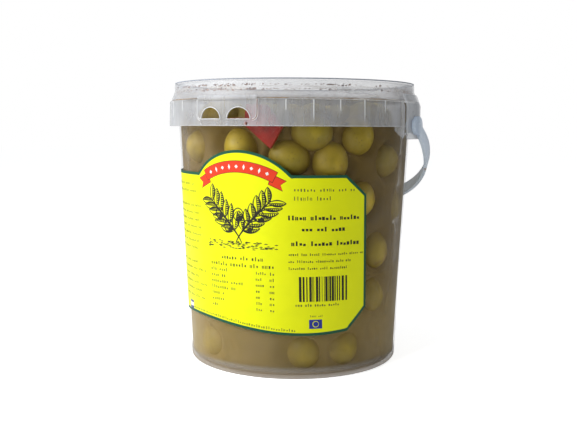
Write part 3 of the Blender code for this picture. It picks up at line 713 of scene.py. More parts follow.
@dataclass(frozen=True)
class OliveSkin:
    """Green to yellow olive skin with dark pores and brown bruises, seen through the brine."""

    green: Colour = paint(172, 154, 30)
    yellow: Colour = paint(236, 206, 58)
    ripe: Colour = paint(170, 122, 56)
    pore: Colour = paint(60, 46, 22)

    def material(self) -> Material:
        """Draw the finish's nodes."""
        sketch = Sketch("olive_skin")
        tint = sketch.tint("tint")
        clouds = sketch.noise(7 * MM, 3.0)
        share = sketch.plus(tint, sketch.spread(clouds, 0.3, 0.7, -0.22, 0.22), clamp=True)
        colour = sketch.mix(share, self.green, self.yellow)
        bruise = sketch.times(sketch.spread(sketch.noise(12 * MM, 5.0), 0.62, 0.72), 0.6)
        colour = sketch.mix(bruise, colour, self.ripe)
        pores = sketch.spread(sketch.cells(2.3 * MM), 0.10, 0.17, 1.0, 0.0)
        colour = sketch.mix(sketch.times(pores, 0.85), colour, self.pore)
        sketch.set(
            Base_Color=MURK.veil(sketch, colour),
            Roughness=sketch.spread(clouds, 0.2, 0.8, 0.38, 0.55),
        )
        sketch.bump(sketch.plus(clouds, pores), 0.2 * MM, 0.3)
        return sketch.material


@dataclass(frozen=True)
class PepperFlesh:
    """Pickled red pepper: glossy skin with a few pale pits."""

    skin: Colour = paint(186, 6, 18)
    deep: Colour = paint(146, 3, 12)
    pit: Colour = paint(216, 110, 100)

    def material(self) -> Material:
        """Draw the finish's nodes."""
        sketch = Sketch("pepper_flesh")
        clouds = sketch.noise(5 * MM, 4.0)
        colour = sketch.mix(sketch.spread(clouds, 0.3, 0.7), self.deep, self.skin)
        pits = sketch.spread(sketch.cells(3.1 * MM), 0.06, 0.12, 1.0, 0.0)
        colour = sketch.mix(pits, colour, self.pit)
        share = sketch.times(MURK.hidden(sketch), 0.08)
        sketch.set(
            Base_Color=sketch.mix(share, colour, MURK.colour(sketch)),
            Roughness=sketch.spread(clouds, 0.2, 0.8, 0.3, 0.5),
        )
        sketch.bump(clouds, 0.3 * MM, 0.4)
        return sketch.material


@dataclass(frozen=True)
class Ink:
    """A printed colour on glossy film, a little uneven."""

    name: str
    colour: Colour
    faded: Colour
    roughness: float = 0.3

    def material(self) -> Material:
        """Draw the finish's nodes."""
        sketch = Sketch(self.name)
        clouds = sketch.noise(11 * MM, 4.0)
        sketch.set(
            Base_Color=sketch.mix(sketch.spread(clouds, 0.25, 0.8), self.colour, self.faded),
            Roughness=sketch.spread(clouds, 0.2, 0.8, self.roughness, self.roughness + 0.12),
            Specular_IOR_Level=0.25,
        )
        sketch.bump(sketch.noise(3 * MM, 3.0), 0.03 * MM, 0.25)
        return sketch.material


@dataclass(frozen=True)
class GrimeAndShade:
    """Dried spice and pepper juice, and the painted shade of the grey line on the lid's edge and in the keyholes."""

    name: str
    colour: Colour
    light: Colour

    def material(self) -> Material:
        """Draw the finish's nodes."""
        sketch = Sketch(self.name)
        clouds = sketch.noise(1.5 * MM, 4.0)
        sketch.set(
            Base_Color=sketch.mix(sketch.spread(clouds, 0.35, 0.65), self.colour, self.light),
            Roughness=sketch.spread(clouds, 0.2, 0.8, 0.5, 0.8),
        )
        sketch.bump(clouds, 0.1 * MM, 0.6)
        return sketch.material


# ---------------------------------------------------------------- the pail


@dataclass
class Pail:
    """The moulded tub: floor, wall, neck, collar with its pull tab, ribs and ears."""

    steps: int = 192
    floor_top: float = 2.1 * MM
    foot_recess: float = 0.9 * MM
    ledge_top: float = 161.5 * MM
    ledge: float = 1.2 * MM
    rim_top: float = 171.5 * MM
    neck_radius: float = 73.75 * MM
    bead_radius: float = 74.35 * MM
    collar_top: float = 78.7 * MM
    collar_foot: float = 79.1 * MM
    collar: float = 1.0 * MM
    rib: float = 1.2 * MM
    rib_pitch: float = radians(11.1)
    first_rib: float = radians(26.7)
    short_drop: float = 7.3 * MM
    long_drop: float = 12.3 * MM
    tab_half: float = radians(15.3)
    tab_top: float = 163.4 * MM
    hole_azimuths: tuple[float, float] = (radians(-7.2), radians(6.7))
    hole_radius: float = 7.2 * MM
    hole_foot: float = 150.3 * MM
    slot: float = 0.9 * MM
    slot_foot: float = 149.3 * MM
    slot_corner: float = 3.6 * MM
    pivot_height: float = 147.0 * MM
    ear_face: float = 82.0 * MM
    ear_plate: float = 1.5 * MM
    ear_half: float = 9.5 * MM
    ear_foot: float = 139.0 * MM
    ear_bend: float = 158.5 * MM
    ear_top: float = 165.3 * MM
    ear_lean: float = 0.38
    ear_cut: float = 2.2 * MM
    flange: float = 1.2 * MM
    flange_inner: float = 10.0 * MM
    flange_reach: float = 80.2 * MM
    pivot_hole: float = 3.2 * MM
    keyhole: float = 2.2 * MM
    keyhole_foot: float = 142.4 * MM
    plastic: HazyPlastic = field(default_factory=lambda: HazyPlastic(
        "pail_plastic", paint(218, 221, 227), paint(200, 202, 205), 0.005, 0.33, 0.26, ear_haze=0.2, foot_haze=0.6,
    ))
    rib_plastic: HazyPlastic = field(default_factory=lambda: HazyPlastic(
        "rib_plastic", paint(222, 225, 230), paint(204, 207, 212), 0.08, 0.1, 0.3,
    ))
    # Near-white and nearly opaque: a painted highlight for the collar's lit edges.
    lip_highlight_plastic: HazyPlastic = field(default_factory=lambda: HazyPlastic(
        "lip_highlight_plastic", paint(248, 249, 250), paint(236, 238, 240), 0.7, 0.72, 0.3,
    ))

    def profile(self) -> list[Point]:
        """The wall's section, from the floor's middle up the inside and down the outside."""
        neck_foot = self.ledge_top - self.ledge
        return [
            (0.0, self.floor_top),
            (WALL.inner(0.0) - 1.6 * MM, self.floor_top),
            (WALL.inner(3.4 * MM), 3.4 * MM),
            (WALL.inner(neck_foot), neck_foot),
            (self.neck_radius - WALL.thickness, self.rim_top - 0.5 * MM),
            (self.neck_radius - 0.8 * MM, self.rim_top),
            (self.neck_radius - 0.3 * MM, self.rim_top),
            (self.bead_radius, self.rim_top - 2.2 * MM),
            (self.bead_radius, self.rim_top - 4.3 * MM),
            (self.neck_radius, self.rim_top - 5.0 * MM),
            (self.neck_radius, self.ledge_top),
            (self.collar_top - 0.4 * MM, self.ledge_top),
            (self.collar_top, self.ledge_top - 0.4 * MM),
            (self.collar_foot, WALL.collar_foot),
            (self.collar_foot - self.collar, WALL.collar_foot),
            (self.collar_top - self.collar, neck_foot),
            (WALL.outer(neck_foot), neck_foot),
            (WALL.outer(1.2 * MM), 1.2 * MM),
            (WALL.foot_radius - 0.9 * MM, 0.0),
            (WALL.foot_radius - 5.0 * MM, 0.0),
            (WALL.foot_radius - 5.8 * MM, self.foot_recess),
            (0.0, self.foot_recess),
        ]

    def tab_plate(self) -> Piece:
        """The raised upper edge of the pull tab."""
        inside = self.collar_top - 0.75 * MM
        outside = self.collar_top - 0.05 * MM
        foot = self.ledge_top - 0.6 * MM
        section = [(inside, foot), (outside, foot), (outside, self.tab_top), (inside, self.tab_top), (inside, foot)]
        plate = turned("tab_plate", section, 24, 2 * self.tab_half, -self.tab_half)
        with editing(plate):
            choose(plate, Pick.EDGES, lambda edge: edge.is_boundary)
            bpy.ops.mesh.edge_face_add()
            choose(plate, Pick.EDGES, lambda edge: self.is_tab_corner(edge))
            bpy.ops.mesh.bevel(offset=1.2 * MM, segments=4, affect="EDGES")
            face_out()
        return plate

    def is_tab_corner(self, edge: bmesh.types.BMEdge) -> bool:
        """Whether an edge runs outwards along one of the tab plate's upper corners."""
        middle = (edge.verts[0].co + edge.verts[1].co) / 2
        azimuth = atan2(middle.x, -middle.y)
        step = edge.verts[1].co - edge.verts[0].co
        radial = abs(step.z) < 0.01 * MM and step.length < 0.8 * MM
        return radial and middle.z > self.tab_top - 0.1 * MM and abs(azimuth) > self.tab_half - 0.001

    def hole_outline(self, grow: float = 0.0) -> list[Point]:
        """A finger hole's half-moon as (along, height) points from its flat side's right end."""
        steps = 20
        outline = []
        for index in range(steps + 1):
            turn = pi * index / steps
            along = (self.hole_radius + grow) * cos(turn)
            rise = (self.hole_radius + grow) * 0.9 * sin(turn)
            outline.append((along, self.hole_foot - grow + rise))
        return outline

    def through_collar(
        self, name: str, outline: Sequence[Point], azimuth: float, deep: float = 3.0 * MM,
    ) -> Piece:
        """A cutter that goes through the collar, or part of the way into it.

        Args:
            name: the cutter's name.
            outline: (along, height) points in front of an azimuth.
            azimuth: where the cutter stands.
            deep: how far it reaches in from the collar's outer face.

        Returns:
            The cutter.
        """
        face = -self.collar_foot - 2 * MM
        corners = [Vector((along, face, height)) for along, height in outline]
        cutter = slab(name, corners, Vector((0, deep + 2 * MM, 0)))
        cutter.data.transform(Matrix.Rotation(azimuth, 4, "Z"))
        return cutter

    def slot_outline(self, side: int, width: float) -> list[Point]:
        """The line down a side of the tab and round its lower corner, as a narrow outline.

        Args:
            side: 1 for the right side and -1 for the left.
            width: the slot's width.

        Returns:
            (along, height) points, measured from the tab's side.
        """
        corner = self.slot_foot + self.slot_corner
        outer = [(0.0, self.tab_top + 1 * MM)]
        inner = [(-width, self.tab_top + 1 * MM)]
        steps = 8
        for index in range(steps + 1):
            turn = radians(84) * index / steps
            for line, radius in ((outer, self.slot_corner), (inner, self.slot_corner - width)):
                along = -self.slot_corner + radius * cos(turn)
                line.append((along, corner - radius * sin(turn)))
        return [(side * along, height) for along, height in outer + inner[::-1]]

    def ear_parts(self) -> list[Piece]:
        """The right ear: plate, flanges and the bars that tie them together."""
        plate = block(
            "ear_plate", (self.ear_face - self.ear_plate, -self.ear_half, self.ear_foot),
            (self.ear_face, self.ear_half, self.ear_top),
        )
        with editing(plate):
            choose(plate, Pick.EDGES, lambda edge: runs_along(edge, 0) and edge.verts[0].co.z < self.pivot_height)
            bpy.ops.mesh.bevel(offset=self.ear_cut, segments=2, affect="EDGES")
            choose(plate, Pick.EDGES, lambda edge: runs_along(edge, 0) and edge.verts[0].co.z > self.ear_bend)
            bpy.ops.mesh.bevel(offset=1.6 * MM, segments=4, affect="EDGES")
            bpy.ops.mesh.select_all(action="SELECT")
            bpy.ops.mesh.bisect(plane_co=(0, 0, self.ear_bend), plane_no=(0, 0, 1))
        for vertex in plate.data.vertices:
            vertex.co.x -= self.ear_lean * max(0.0, vertex.co.z - self.ear_bend)
        soften(plate, 0.25 * MM, 2, 50)
        parts = [plate]
        top = self.ledge_top - 0.5 * MM
        root = WALL.outer(self.pivot_height) - 0.6 * MM
        for side in (-1, 1):
            near = side * self.flange_inner
            outline = [
                Vector((root, near, WALL.collar_foot - 0.6 * MM)),
                Vector((root, near, top)),
                Vector((self.flange_reach - 1.4 * MM, near, top)),
                Vector((self.flange_reach, near, top - 2.5 * MM)),
                Vector((self.flange_reach, near, self.ear_foot + 2.4 * MM)),
                Vector((self.flange_reach - 1.0 * MM, near, self.ear_foot + 0.4 * MM)),
            ]
            parts.append(slab("ear_flange", outline, Vector((0, side * self.flange, 0))))
        parts.append(block(
            "upper_bar",
            (self.collar_top - 2 * MM, -self.ear_half + 0.3 * MM, self.ledge_top - 1.05 * MM),
            (self.ear_face - 1.6 * MM, self.ear_half - 0.3 * MM, self.ledge_top - 0.2 * MM),
        ))
        reach = self.flange_inner + self.flange - 0.2 * MM
        parts.append(block(
            "lower_bar", (self.flange_reach - 0.7 * MM, -reach, self.ear_foot + 2.7 * MM),
            (self.ear_face - 0.7 * MM, reach, self.ear_foot + 3.7 * MM),
        ))
        return parts

    def pivot_keyhole(self) -> Piece:
        """The round pivot hole with the short slot under it."""
        steps = 28
        half = self.keyhole / 2
        meet = asin(half / self.pivot_hole)
        outline = []
        for index in range(steps + 1):
            turn = meet - pi / 2 + (tau - 2 * meet) * index / steps
            outline.append((self.pivot_hole * cos(turn), self.pivot_height + self.pivot_hole * sin(turn)))
        outline += [(-half, self.keyhole_foot), (half, self.keyhole_foot)]
        back = self.ear_face - self.ear_plate - 0.5 * MM
        return slab("keyhole", [Vector((back, *spot)) for spot in outline], Vector((self.ear_plate + 1 * MM, 0, 0)))

    def build_tub(self) -> Piece:
        """Spin the wall, fuse the ears and the tab on, and cut the holes."""
        tub = turned("tub", self.profile(), self.steps, rounding=0.25 * MM)
        low = (WALL.outer(WALL.collar_foot) + 1.4 * MM, -self.flange_inner - 0.3 * MM, WALL.collar_foot - 1 * MM)
        high = (self.collar_foot + 1 * MM, self.flange_inner + 0.3 * MM, self.ledge_top - self.ledge)
        carve(tub, both_sides([block("ear_chamber", low, high)]), "DIFFERENCE")
        carve(tub, [self.tab_plate()] + both_sides(self.ear_parts()), "UNION")
        cutters = [
            self.through_collar("finger_hole", self.hole_outline(), azimuth) for azimuth in self.hole_azimuths
        ]
        cutters.append(self.through_collar("open_slot", self.slot_outline(1, self.slot), self.tab_half))
        cutters.append(self.through_collar("groove", self.slot_outline(-1, 0.5 * MM), -self.tab_half, 0.7 * MM))
        carve(tub, cutters + both_sides([self.pivot_keyhole()]), "DIFFERENCE")
        return hand_over(tub, [self.plastic.material()], Body.TUB, ["pail"])

    def rib_places(self) -> list[tuple[float, float]]:
        """Azimuth and drop of each gusset, short and long in turn, clear of the tab and the ears."""
        places = []
        for turn in range(int((pi - self.first_rib) / self.rib_pitch) + 1):
            azimuth = self.first_rib + turn * self.rib_pitch
            if abs(azimuth - pi / 2) > 0.9 * self.rib_pitch:
                drop = self.long_drop if turn % 2 else self.short_drop
                places += [(-azimuth, drop), (azimuth, drop)]
        return places

    def build_ribs(self) -> Piece:
        """The thin clear gussets behind the collar."""
        top = self.ledge_top - self.ledge / 2
        models = {}
        for drop in (self.short_drop, self.long_drop):
            foot = self.ledge_top - drop
            inside = WALL.outer(foot) - WALL.thickness / 2
            outside = self.collar_top - 0.9 * self.collar
            models[drop] = block("rib", (-self.rib / 2, -outside, foot), (self.rib / 2, -inside, top))
            soften(models[drop], 0.2 * MM)
        ribs = [copied(models[drop], Matrix.Rotation(azimuth, 4, "Z")) for azimuth, drop in self.rib_places()]
        discard(*models.values())
        return hand_over(joined("ribs", ribs), [self.rib_plastic.material()], Body.TUB)

    def rib_highlights(self) -> list[Piece]:
        """A painted highlight along the seam on the collar in front of each gusset, drawn out to a point at its foot.
        """
        lines = []
        for azimuth, drop in self.rib_places():
            points = [at(azimuth, self.collar_face(height), height)
                      for height in np.linspace(self.ledge_top - 0.6 * MM, self.ledge_top - drop - 0.8 * MM, 9)]
            lines.append(bead("rib_highlight", points, 0.3 * MM, taper=True))
        return lines

    def collar_face(self, height: float) -> float:
        """The radius just inside the collar's outer face at a height."""
        share = (height - WALL.collar_foot) / (self.ledge_top - WALL.collar_foot)
        return self.collar_foot + (self.collar_top - self.collar_foot) * share - 0.15 * MM

    def build_lips(self) -> Piece:
        """The fine raised lips of the collar: round its holes, along its slots, its seams and its foot. Their
        near-white, nearly opaque finish is a painted highlight, for the plastic's edges catching the light.
        """
        lips = []
        for azimuth in self.hole_azimuths:
            outline = self.hole_outline(0.15 * MM)
            left, right = outline[-1], outline[0]
            outline += [(left[0] * 0.5, left[1]), (right[0] * 0.5, right[1])]
            points = [at(azimuth + along / self.collar_foot, self.collar_face(height), height)
                      for along, height in outline]
            lips.append(bead("lip", points, 0.28 * MM, True))
        for side in (-1, 1):
            outline = self.slot_outline(side, self.slot)
            half = len(outline) // 2
            for line in (outline[:half], outline[half:][::-1]):
                points = [(along, min(height, self.ledge_top - 0.3 * MM)) for along, height in line]
                lips.append(bead("lip", [
                    at(side * self.tab_half + along / self.collar_foot, self.collar_face(height), height)
                    for along, height in points
                ], 0.2 * MM))
        for azimuth in (-13.0, 1.5, 11.2):
            spot = at(radians(azimuth), self.collar_foot - 0.5 * MM, WALL.collar_foot + 0.5 * MM)
            lips.append(bead("tear_dot", [spot, spot + Vector((0, 0, 0.9 * MM))], 0.45 * MM))
        edge = ring(self.collar_foot - 0.32 * MM, WALL.collar_foot + 0.32 * MM)
        lips.append(bead("lip", edge, 0.17 * MM, True))
        return hand_over(joined("lips", lips + self.rib_highlights()), [self.lip_highlight_plastic.material()], Body.TUB)

    def build(self) -> list[Piece]:
        """Build the tub with its ribs and lips."""
        return [self.build_tub(), self.build_ribs(), self.build_lips()]


@dataclass
class Lid:
    """The clear snap lid with its sunk panel, raised rim and flared skirt."""

    steps: int = 192
    top: float = 173.0 * MM
    radius: float = 75.6 * MM
    wall: float = 0.9 * MM
    panel_top: float = 163.4 * MM
    panel: float = 1.0 * MM
    plug_radius: float = 72.1 * MM
    plug_wall: float = 1.0 * MM
    skirt_bend: float = 167.6 * MM
    skirt_foot: float = 161.9 * MM
    skirt_radius: float = 77.7 * MM
    plastic: HazyPlastic = field(default_factory=lambda: HazyPlastic(
        "lid_plastic", paint(220, 222, 227), paint(210, 212, 217), 0.15, 0.19, 0.4, 0.14,
    ))

    def profile(self) -> list[Point]:
        """The lid's section, from the panel's top over the rim, down the skirt and back under the panel."""
        panel_foot = self.panel_top - self.panel
        plug_inside = self.plug_radius - self.plug_wall
        channel = self.top - 1.15 * MM
        return [
            (0.0, self.panel_top),
            (plug_inside - 1.4 * MM, self.panel_top),
            (plug_inside, self.panel_top + 1.2 * MM),
            (plug_inside, self.top - 1.6 * MM),
            (plug_inside + 0.9 * MM, self.top - 0.4 * MM),
            (plug_inside + 2.0 * MM, self.top),
            (self.radius - 1.9 * MM, self.top),
            (self.radius - 0.6 * MM, self.top - 0.6 * MM),
            (self.radius, self.top - 2.0 * MM),
            (self.radius, self.skirt_bend),
            (self.skirt_radius, self.skirt_foot),
            (self.skirt_radius - 0.9 * MM, self.skirt_foot),
            (self.radius - self.wall, self.skirt_bend - 0.2 * MM),
            (self.radius - self.wall, channel - 0.9 * MM),
            (self.radius - self.wall - 0.8 * MM, channel),
            (self.plug_radius, channel),
            (self.plug_radius - 0.1 * MM, panel_foot + 0.6 * MM),
            (self.plug_radius - 0.8 * MM, panel_foot),
            (0.0, panel_foot),
        ]

    def build(self) -> Piece:
        """Spin the lid."""
        lid = turned("snap_lid", self.profile(), self.steps, rounding=0.3 * MM)
        return hand_over(lid, [self.plastic.material()], Body.TUB, ["lid"])


@dataclass
class Bail:
    """The strap handle with its eyes and pins, hung behind the pail."""

    pivot_height: float = 147.0 * MM
    half_span: float = 83.8 * MM
    straight: float = 9.0 * MM
    reach: float = 91.0 * MM
    thickness: float = 2.2 * MM
    width: float = 9.0 * MM
    width_at_eye: float = 6.0 * MM
    chamfer: float = 0.8 * MM
    widening: float = 22.0 * MM
    eye_radius: float = 5.6 * MM
    eye_faces: Point = (82.4 * MM, 85.2 * MM)
    pin_radius: float = 2.8 * MM
    head_radius: float = 4.4 * MM
    head_faces: Point = (78.0 * MM, 80.0 * MM)
    plastic: HazyPlastic = field(default_factory=lambda: HazyPlastic(
        "handle_plastic", paint(222, 237, 254), paint(212, 228, 246), 0.6, 0.62, 0.3,
        stain_spot=(78.3 * MM, 30.8 * MM, 120.0 * MM), stain_radius=2.4 * MM,
    ))

    def strap(self) -> Piece:
        """Spin the strap's section half round, press it into its oval and run its ends to the eyes."""
        low = (self.half_span - self.thickness / 2, -0.5 * MM, -self.width / 2)
        high = (self.half_span + self.thickness / 2, 0.0, self.width / 2)
        strap = block("strap", low, high)
        with editing(strap):
            choose(strap, Pick.EDGES, lambda edge: self.is_outer_edge(edge))
            bpy.ops.mesh.bevel(offset=self.chamfer, segments=3, affect="EDGES")
            choose(strap, Pick.FACES, lambda face: face.normal.y > 0.9)
            spin(72, pi)
        depth = self.reach - self.straight
        for vertex in strap.data.vertices:
            if vertex.co.y > -0.1 * MM:
                vertex.co.y = vertex.co.y * depth / self.half_span + self.straight
            else:
                vertex.co.y = 1.5 * MM
            share = min(1.0, vertex.co.y / self.widening)
            vertex.co.z *= (self.width_at_eye + (self.width - self.width_at_eye) * share) / self.width
        return strap

    def is_outer_edge(self, edge: bmesh.types.BMEdge) -> bool:
        """Whether an edge of the section's block runs along the strap on its outer face."""
        return runs_along(edge, 1) and edge.verts[0].co.x > self.half_span

    def eye(self) -> Piece:
        """The round eye with the pin through the ear and the head that keeps it there."""
        parts = []
        for name, radius, faces in (
            ("eye", self.eye_radius, self.eye_faces),
            ("pin", self.pin_radius, (self.head_faces[0] + 0.3 * MM, self.eye_faces[0] + 0.3 * MM)),
            ("head", self.head_radius, self.head_faces),
        ):
            bpy.ops.mesh.primitive_cylinder_add(
                vertices=48, radius=radius, depth=faces[1] - faces[0],
                location=((faces[0] + faces[1]) / 2, 0, 0), rotation=(0, pi / 2, 0),
            )
            part = newest(name)
            soften(part, 0.5 * MM, 3, 60)
            parts.append(part)
        carve(parts[0], parts[1:], "UNION")
        return parts[0]

    def rest_angle(self) -> float:
        """How far below level the bail hangs when its lower edge meets the wall."""
        low, high = 0.0, pi / 2
        inner = self.reach - self.thickness / 2
        for _ in range(40):
            tilt = (low + high) / 2
            out = inner * cos(tilt) - self.width / 2 * sin(tilt)
            height = self.pivot_height - inner * sin(tilt) - self.width / 2 * cos(tilt)
            if out > WALL.outer(height) + 0.3 * MM:
                low = tilt
            else:
                high = tilt
        return low

    def build(self) -> Piece:
        """Fuse the strap and the eyes, and hang the bail from its pivots."""
        bail = self.strap()
        bail.name = "bail_handle"
        carve(bail, both_sides([self.eye()]), "UNION")
        hang = Matrix.Translation((0, 0, self.pivot_height)) @ Matrix.Rotation(-self.rest_angle(), 4, "X")
        bail.data.transform(hang)
        return hand_over(bail, [self.plastic.material()], Body.BAIL, ["handle"])


@dataclass(frozen=True)
class SmearAndGlare:
    """A patchy film that comes and goes along its surface; the same is used for a painted glare on the lid's skirt.
    """

    name: str
    colour: Colour
    light: Colour
    cover: float
    least: float
    radius: float
    foot: float
    top: float
    flare: float = 0.0
    start: float = 0.0
    sweep: float = tau

    def material(self) -> Material:
        """Draw the finish's nodes."""
        sketch = Sketch(self.name)
        clouds = sketch.noise(16 * MM, 3.0, 0.12)
        grain = sketch.noise(1.6 * MM, 3.0)
        alpha = sketch.times(sketch.spread(clouds, 0.38, 0.66), self.cover)
        sketch.set(
            Base_Color=sketch.mix(sketch.spread(grain, 0.3, 0.7), self.colour, self.light),
            Alpha=sketch.math("MAXIMUM", alpha, self.least), Roughness=sketch.spread(grain, 0.2, 0.8, 0.4, 0.7),
        )
        sketch.bump(grain, 0.02 * MM, 0.2)
        return sketch.material

    def build(self) -> Piece:
        """Spin the film."""
        edge = [((self.radius + self.flare) * MM, self.foot * MM), (self.radius * MM, self.top * MM)]
        film = turned(self.name, edge, 192, self.sweep, self.start)
        return hand_over(film, [self.material()], Body.TUB)


@dataclass
class ResidueAndPaintedLight:
    """What has dried on the pack: spice under the lid, stains in the slot and on the bail. With it go a patchy tan
    band on the neck and painted light: a grey shade line along the lid's top edge, brown shade in the keyholes and a
    glare on the lid's skirt.
    """

    neck: float = 74.55 * MM
    lines: Point = (169.2 * MM, 166.7 * MM)
    rim_edge: Point = (75.12 * MM, 172.42 * MM)
    break_point: Point = (5.2 * MM, 148.4 * MM)
    seed: int = 23
    crowded: tuple[tuple[float, float, int, float], ...] = (
        (-56, -20, 44, 0.9), (-20, 10, 60, 0.7), (-20, 4, 26, 1.3), (9, 13, 10, 1.4), (10, 60, 80, 0.6),
        (44, 56, 18, 0.9), (60, 120, 60, 0.7), (120, 304, 120, 0.7),
    )
    spice: GrimeAndShade = GrimeAndShade("dried_spice", paint(84, 48, 26), paint(150, 104, 64))
    stain: GrimeAndShade = GrimeAndShade("brown_stain_and_shade", paint(96, 44, 22), paint(140, 84, 48))
    # The grey line along the lid's top edge is painted shade.
    line: GrimeAndShade = GrimeAndShade("rim_shadow", paint(140, 147, 160), paint(166, 172, 184))
    herb: GrimeAndShade = GrimeAndShade("herb_bits", paint(150, 128, 84), paint(186, 168, 124))

    smears_and_glare: tuple[SmearAndGlare, ...] = (
        # A patchy tan band round the neck, seen through the lid's skirt.
        SmearAndGlare("tan_film", paint(172, 152, 124), paint(200, 186, 162), 0.42, 0.08, 74.42, 162.3, 168.6),
        # A painted highlight: a white patch on the lid's flared skirt, where the light glares off it.
        SmearAndGlare(
            "painted_glare", paint(226, 227, 229), paint(246, 247, 248), 0.9, 0.2, 75.66, 164.2, 168.0,
            flare=1.25, start=radians(48), sweep=radians(19),
        ),
        SmearAndGlare("joint_film", paint(142, 108, 72), paint(184, 154, 116), 0.9, 0.15, 77.2, 161.55, 162.1),
    )
    herb_spots: tuple[tuple[float, float, float], ...] = (
        (39.5, 24.6, 0.5), (41.6, 25.2, -0.4), (46.8, 25.6, 0.8), (52.0, 24.2, -0.2),
    )

    def build_flecks(self) -> Piece:
        """Flecks of spice between the neck and the lid, in two rough lines."""
        model = block("fleck", (-0.5 * MM, -0.08 * MM, -0.5 * MM), (0.5 * MM, 0.08 * MM, 0.5 * MM))
        soften(model, 0.06 * MM, 2)
        rng = np.random.default_rng(self.seed)
        flecks = []
        for first, last, count, size in self.crowded:
            for _ in range(count):
                azimuth = radians(rng.uniform(first, last))
                height = self.lines[int(rng.integers(2))] + rng.normal(0.0, 0.28) * MM
                wide, tall = size * rng.uniform(0.5, 1.7), size * rng.uniform(0.4, 0.9)
                place = Matrix.Rotation(azimuth, 4, "Z") @ Matrix.Translation((0, -self.neck, height))
                turn = Matrix.Rotation(rng.uniform(-0.5, 0.5), 4, "Y")
                flecks.append(copied(model, place @ turn @ Matrix.Diagonal((wide, 1.0, tall, 1.0))))
        discard(model)
        return hand_over(joined("spice_flecks", flecks), [self.spice.material()], Body.TUB)

    def build_herbs(self) -> Piece:
        """Bits of herb that float against the wall near its foot."""
        bits = []
        for azimuth, height, slant in self.herb_spots:
            points = []
            for step in (-1.2, -0.4, 0.4, 1.2):
                level = (height + slant * step - 0.25 * step ** 2) * MM
                points.append(at(radians(azimuth + step), WALL.inner(level) - 0.35 * MM, level))
            bits.append(bead("herb", points, 0.22 * MM))
        return hand_over(joined("herb_bits", bits), [self.herb.material()], Body.TUB)

    def build_rim_line(self) -> Piece:
        """The fine grey line along the lid's top edge, where the plastic bends the light away."""
        line = bead("rim_line", ring(*self.rim_edge), 0.3 * MM, True)
        return hand_over(line, [self.line.material()], Body.TUB)

    def build_stains_and_keyhole_shade(self, pail: Pail) -> Piece:
        """Dried juice along the open slot and the foot of the right finger hole, and painted brown shade in the
        keyholes.
        """
        strips = []
        outline = pail.slot_outline(1, pail.slot)
        half = len(outline) // 2
        rng = np.random.default_rng(self.seed + 1)
        line = []
        for outer, inner in zip(outline[:half], outline[half:][::-1]):
            along, height = (outer[0] + inner[0]) / 2, min((outer[1] + inner[1]) / 2, 161.0 * MM)
            line.append(at(pail.tab_half + along / pail.collar_foot, pail.collar_foot - 0.75 * MM, height))
        strips.append(bead("stain", line, 0.42 * MM))
        along, height = self.break_point
        spot = at(pail.hole_azimuths[1] + along / pail.collar_foot, pail.collar_foot - 0.2 * MM, height)
        strips.append(bead("stain", [spot, spot - Vector((0, 0, 1.4 * MM))], 0.6 * MM))
        for index in range(7):
            azimuth = pail.hole_azimuths[1] + (-5.5 + 1.8 * index) * MM / pail.collar_foot
            height = pail.hole_foot + rng.uniform(-0.3, 0.5) * MM
            points = [
                at(azimuth + step * MM / pail.collar_foot, pail.collar_foot - 0.3 * MM, height)
                for step in (-0.7, 0, 0.7)
            ]
            strips.append(bead("stain", points, rng.uniform(0.18, 0.4) * MM))
        # A brown bead at each keyhole's foot is painted shade in the opening.
        for side in (-1, 1):
            spot = Vector((side * (pail.ear_face - 0.9 * MM), 0, pail.keyhole_foot + 0.7 * MM))
            strips.append(bead("stain", [spot, spot + Vector((0, 0, 0.8 * MM))], 0.75 * MM))
        return hand_over(joined("stains", strips), [self.stain.material()], Body.TUB)

    def build(self, pail: Pail) -> list[Piece]:
        """Build the residue with the tan band, the painted shade and the painted glare."""
        pieces = [self.build_flecks(), self.build_rim_line(), self.build_herbs(), self.build_stains_and_keyhole_shade(pail)]
        return pieces + [smear.build() for smear in self.smears_and_glare]


# ---------------------------------------------------------------- what is in the pail


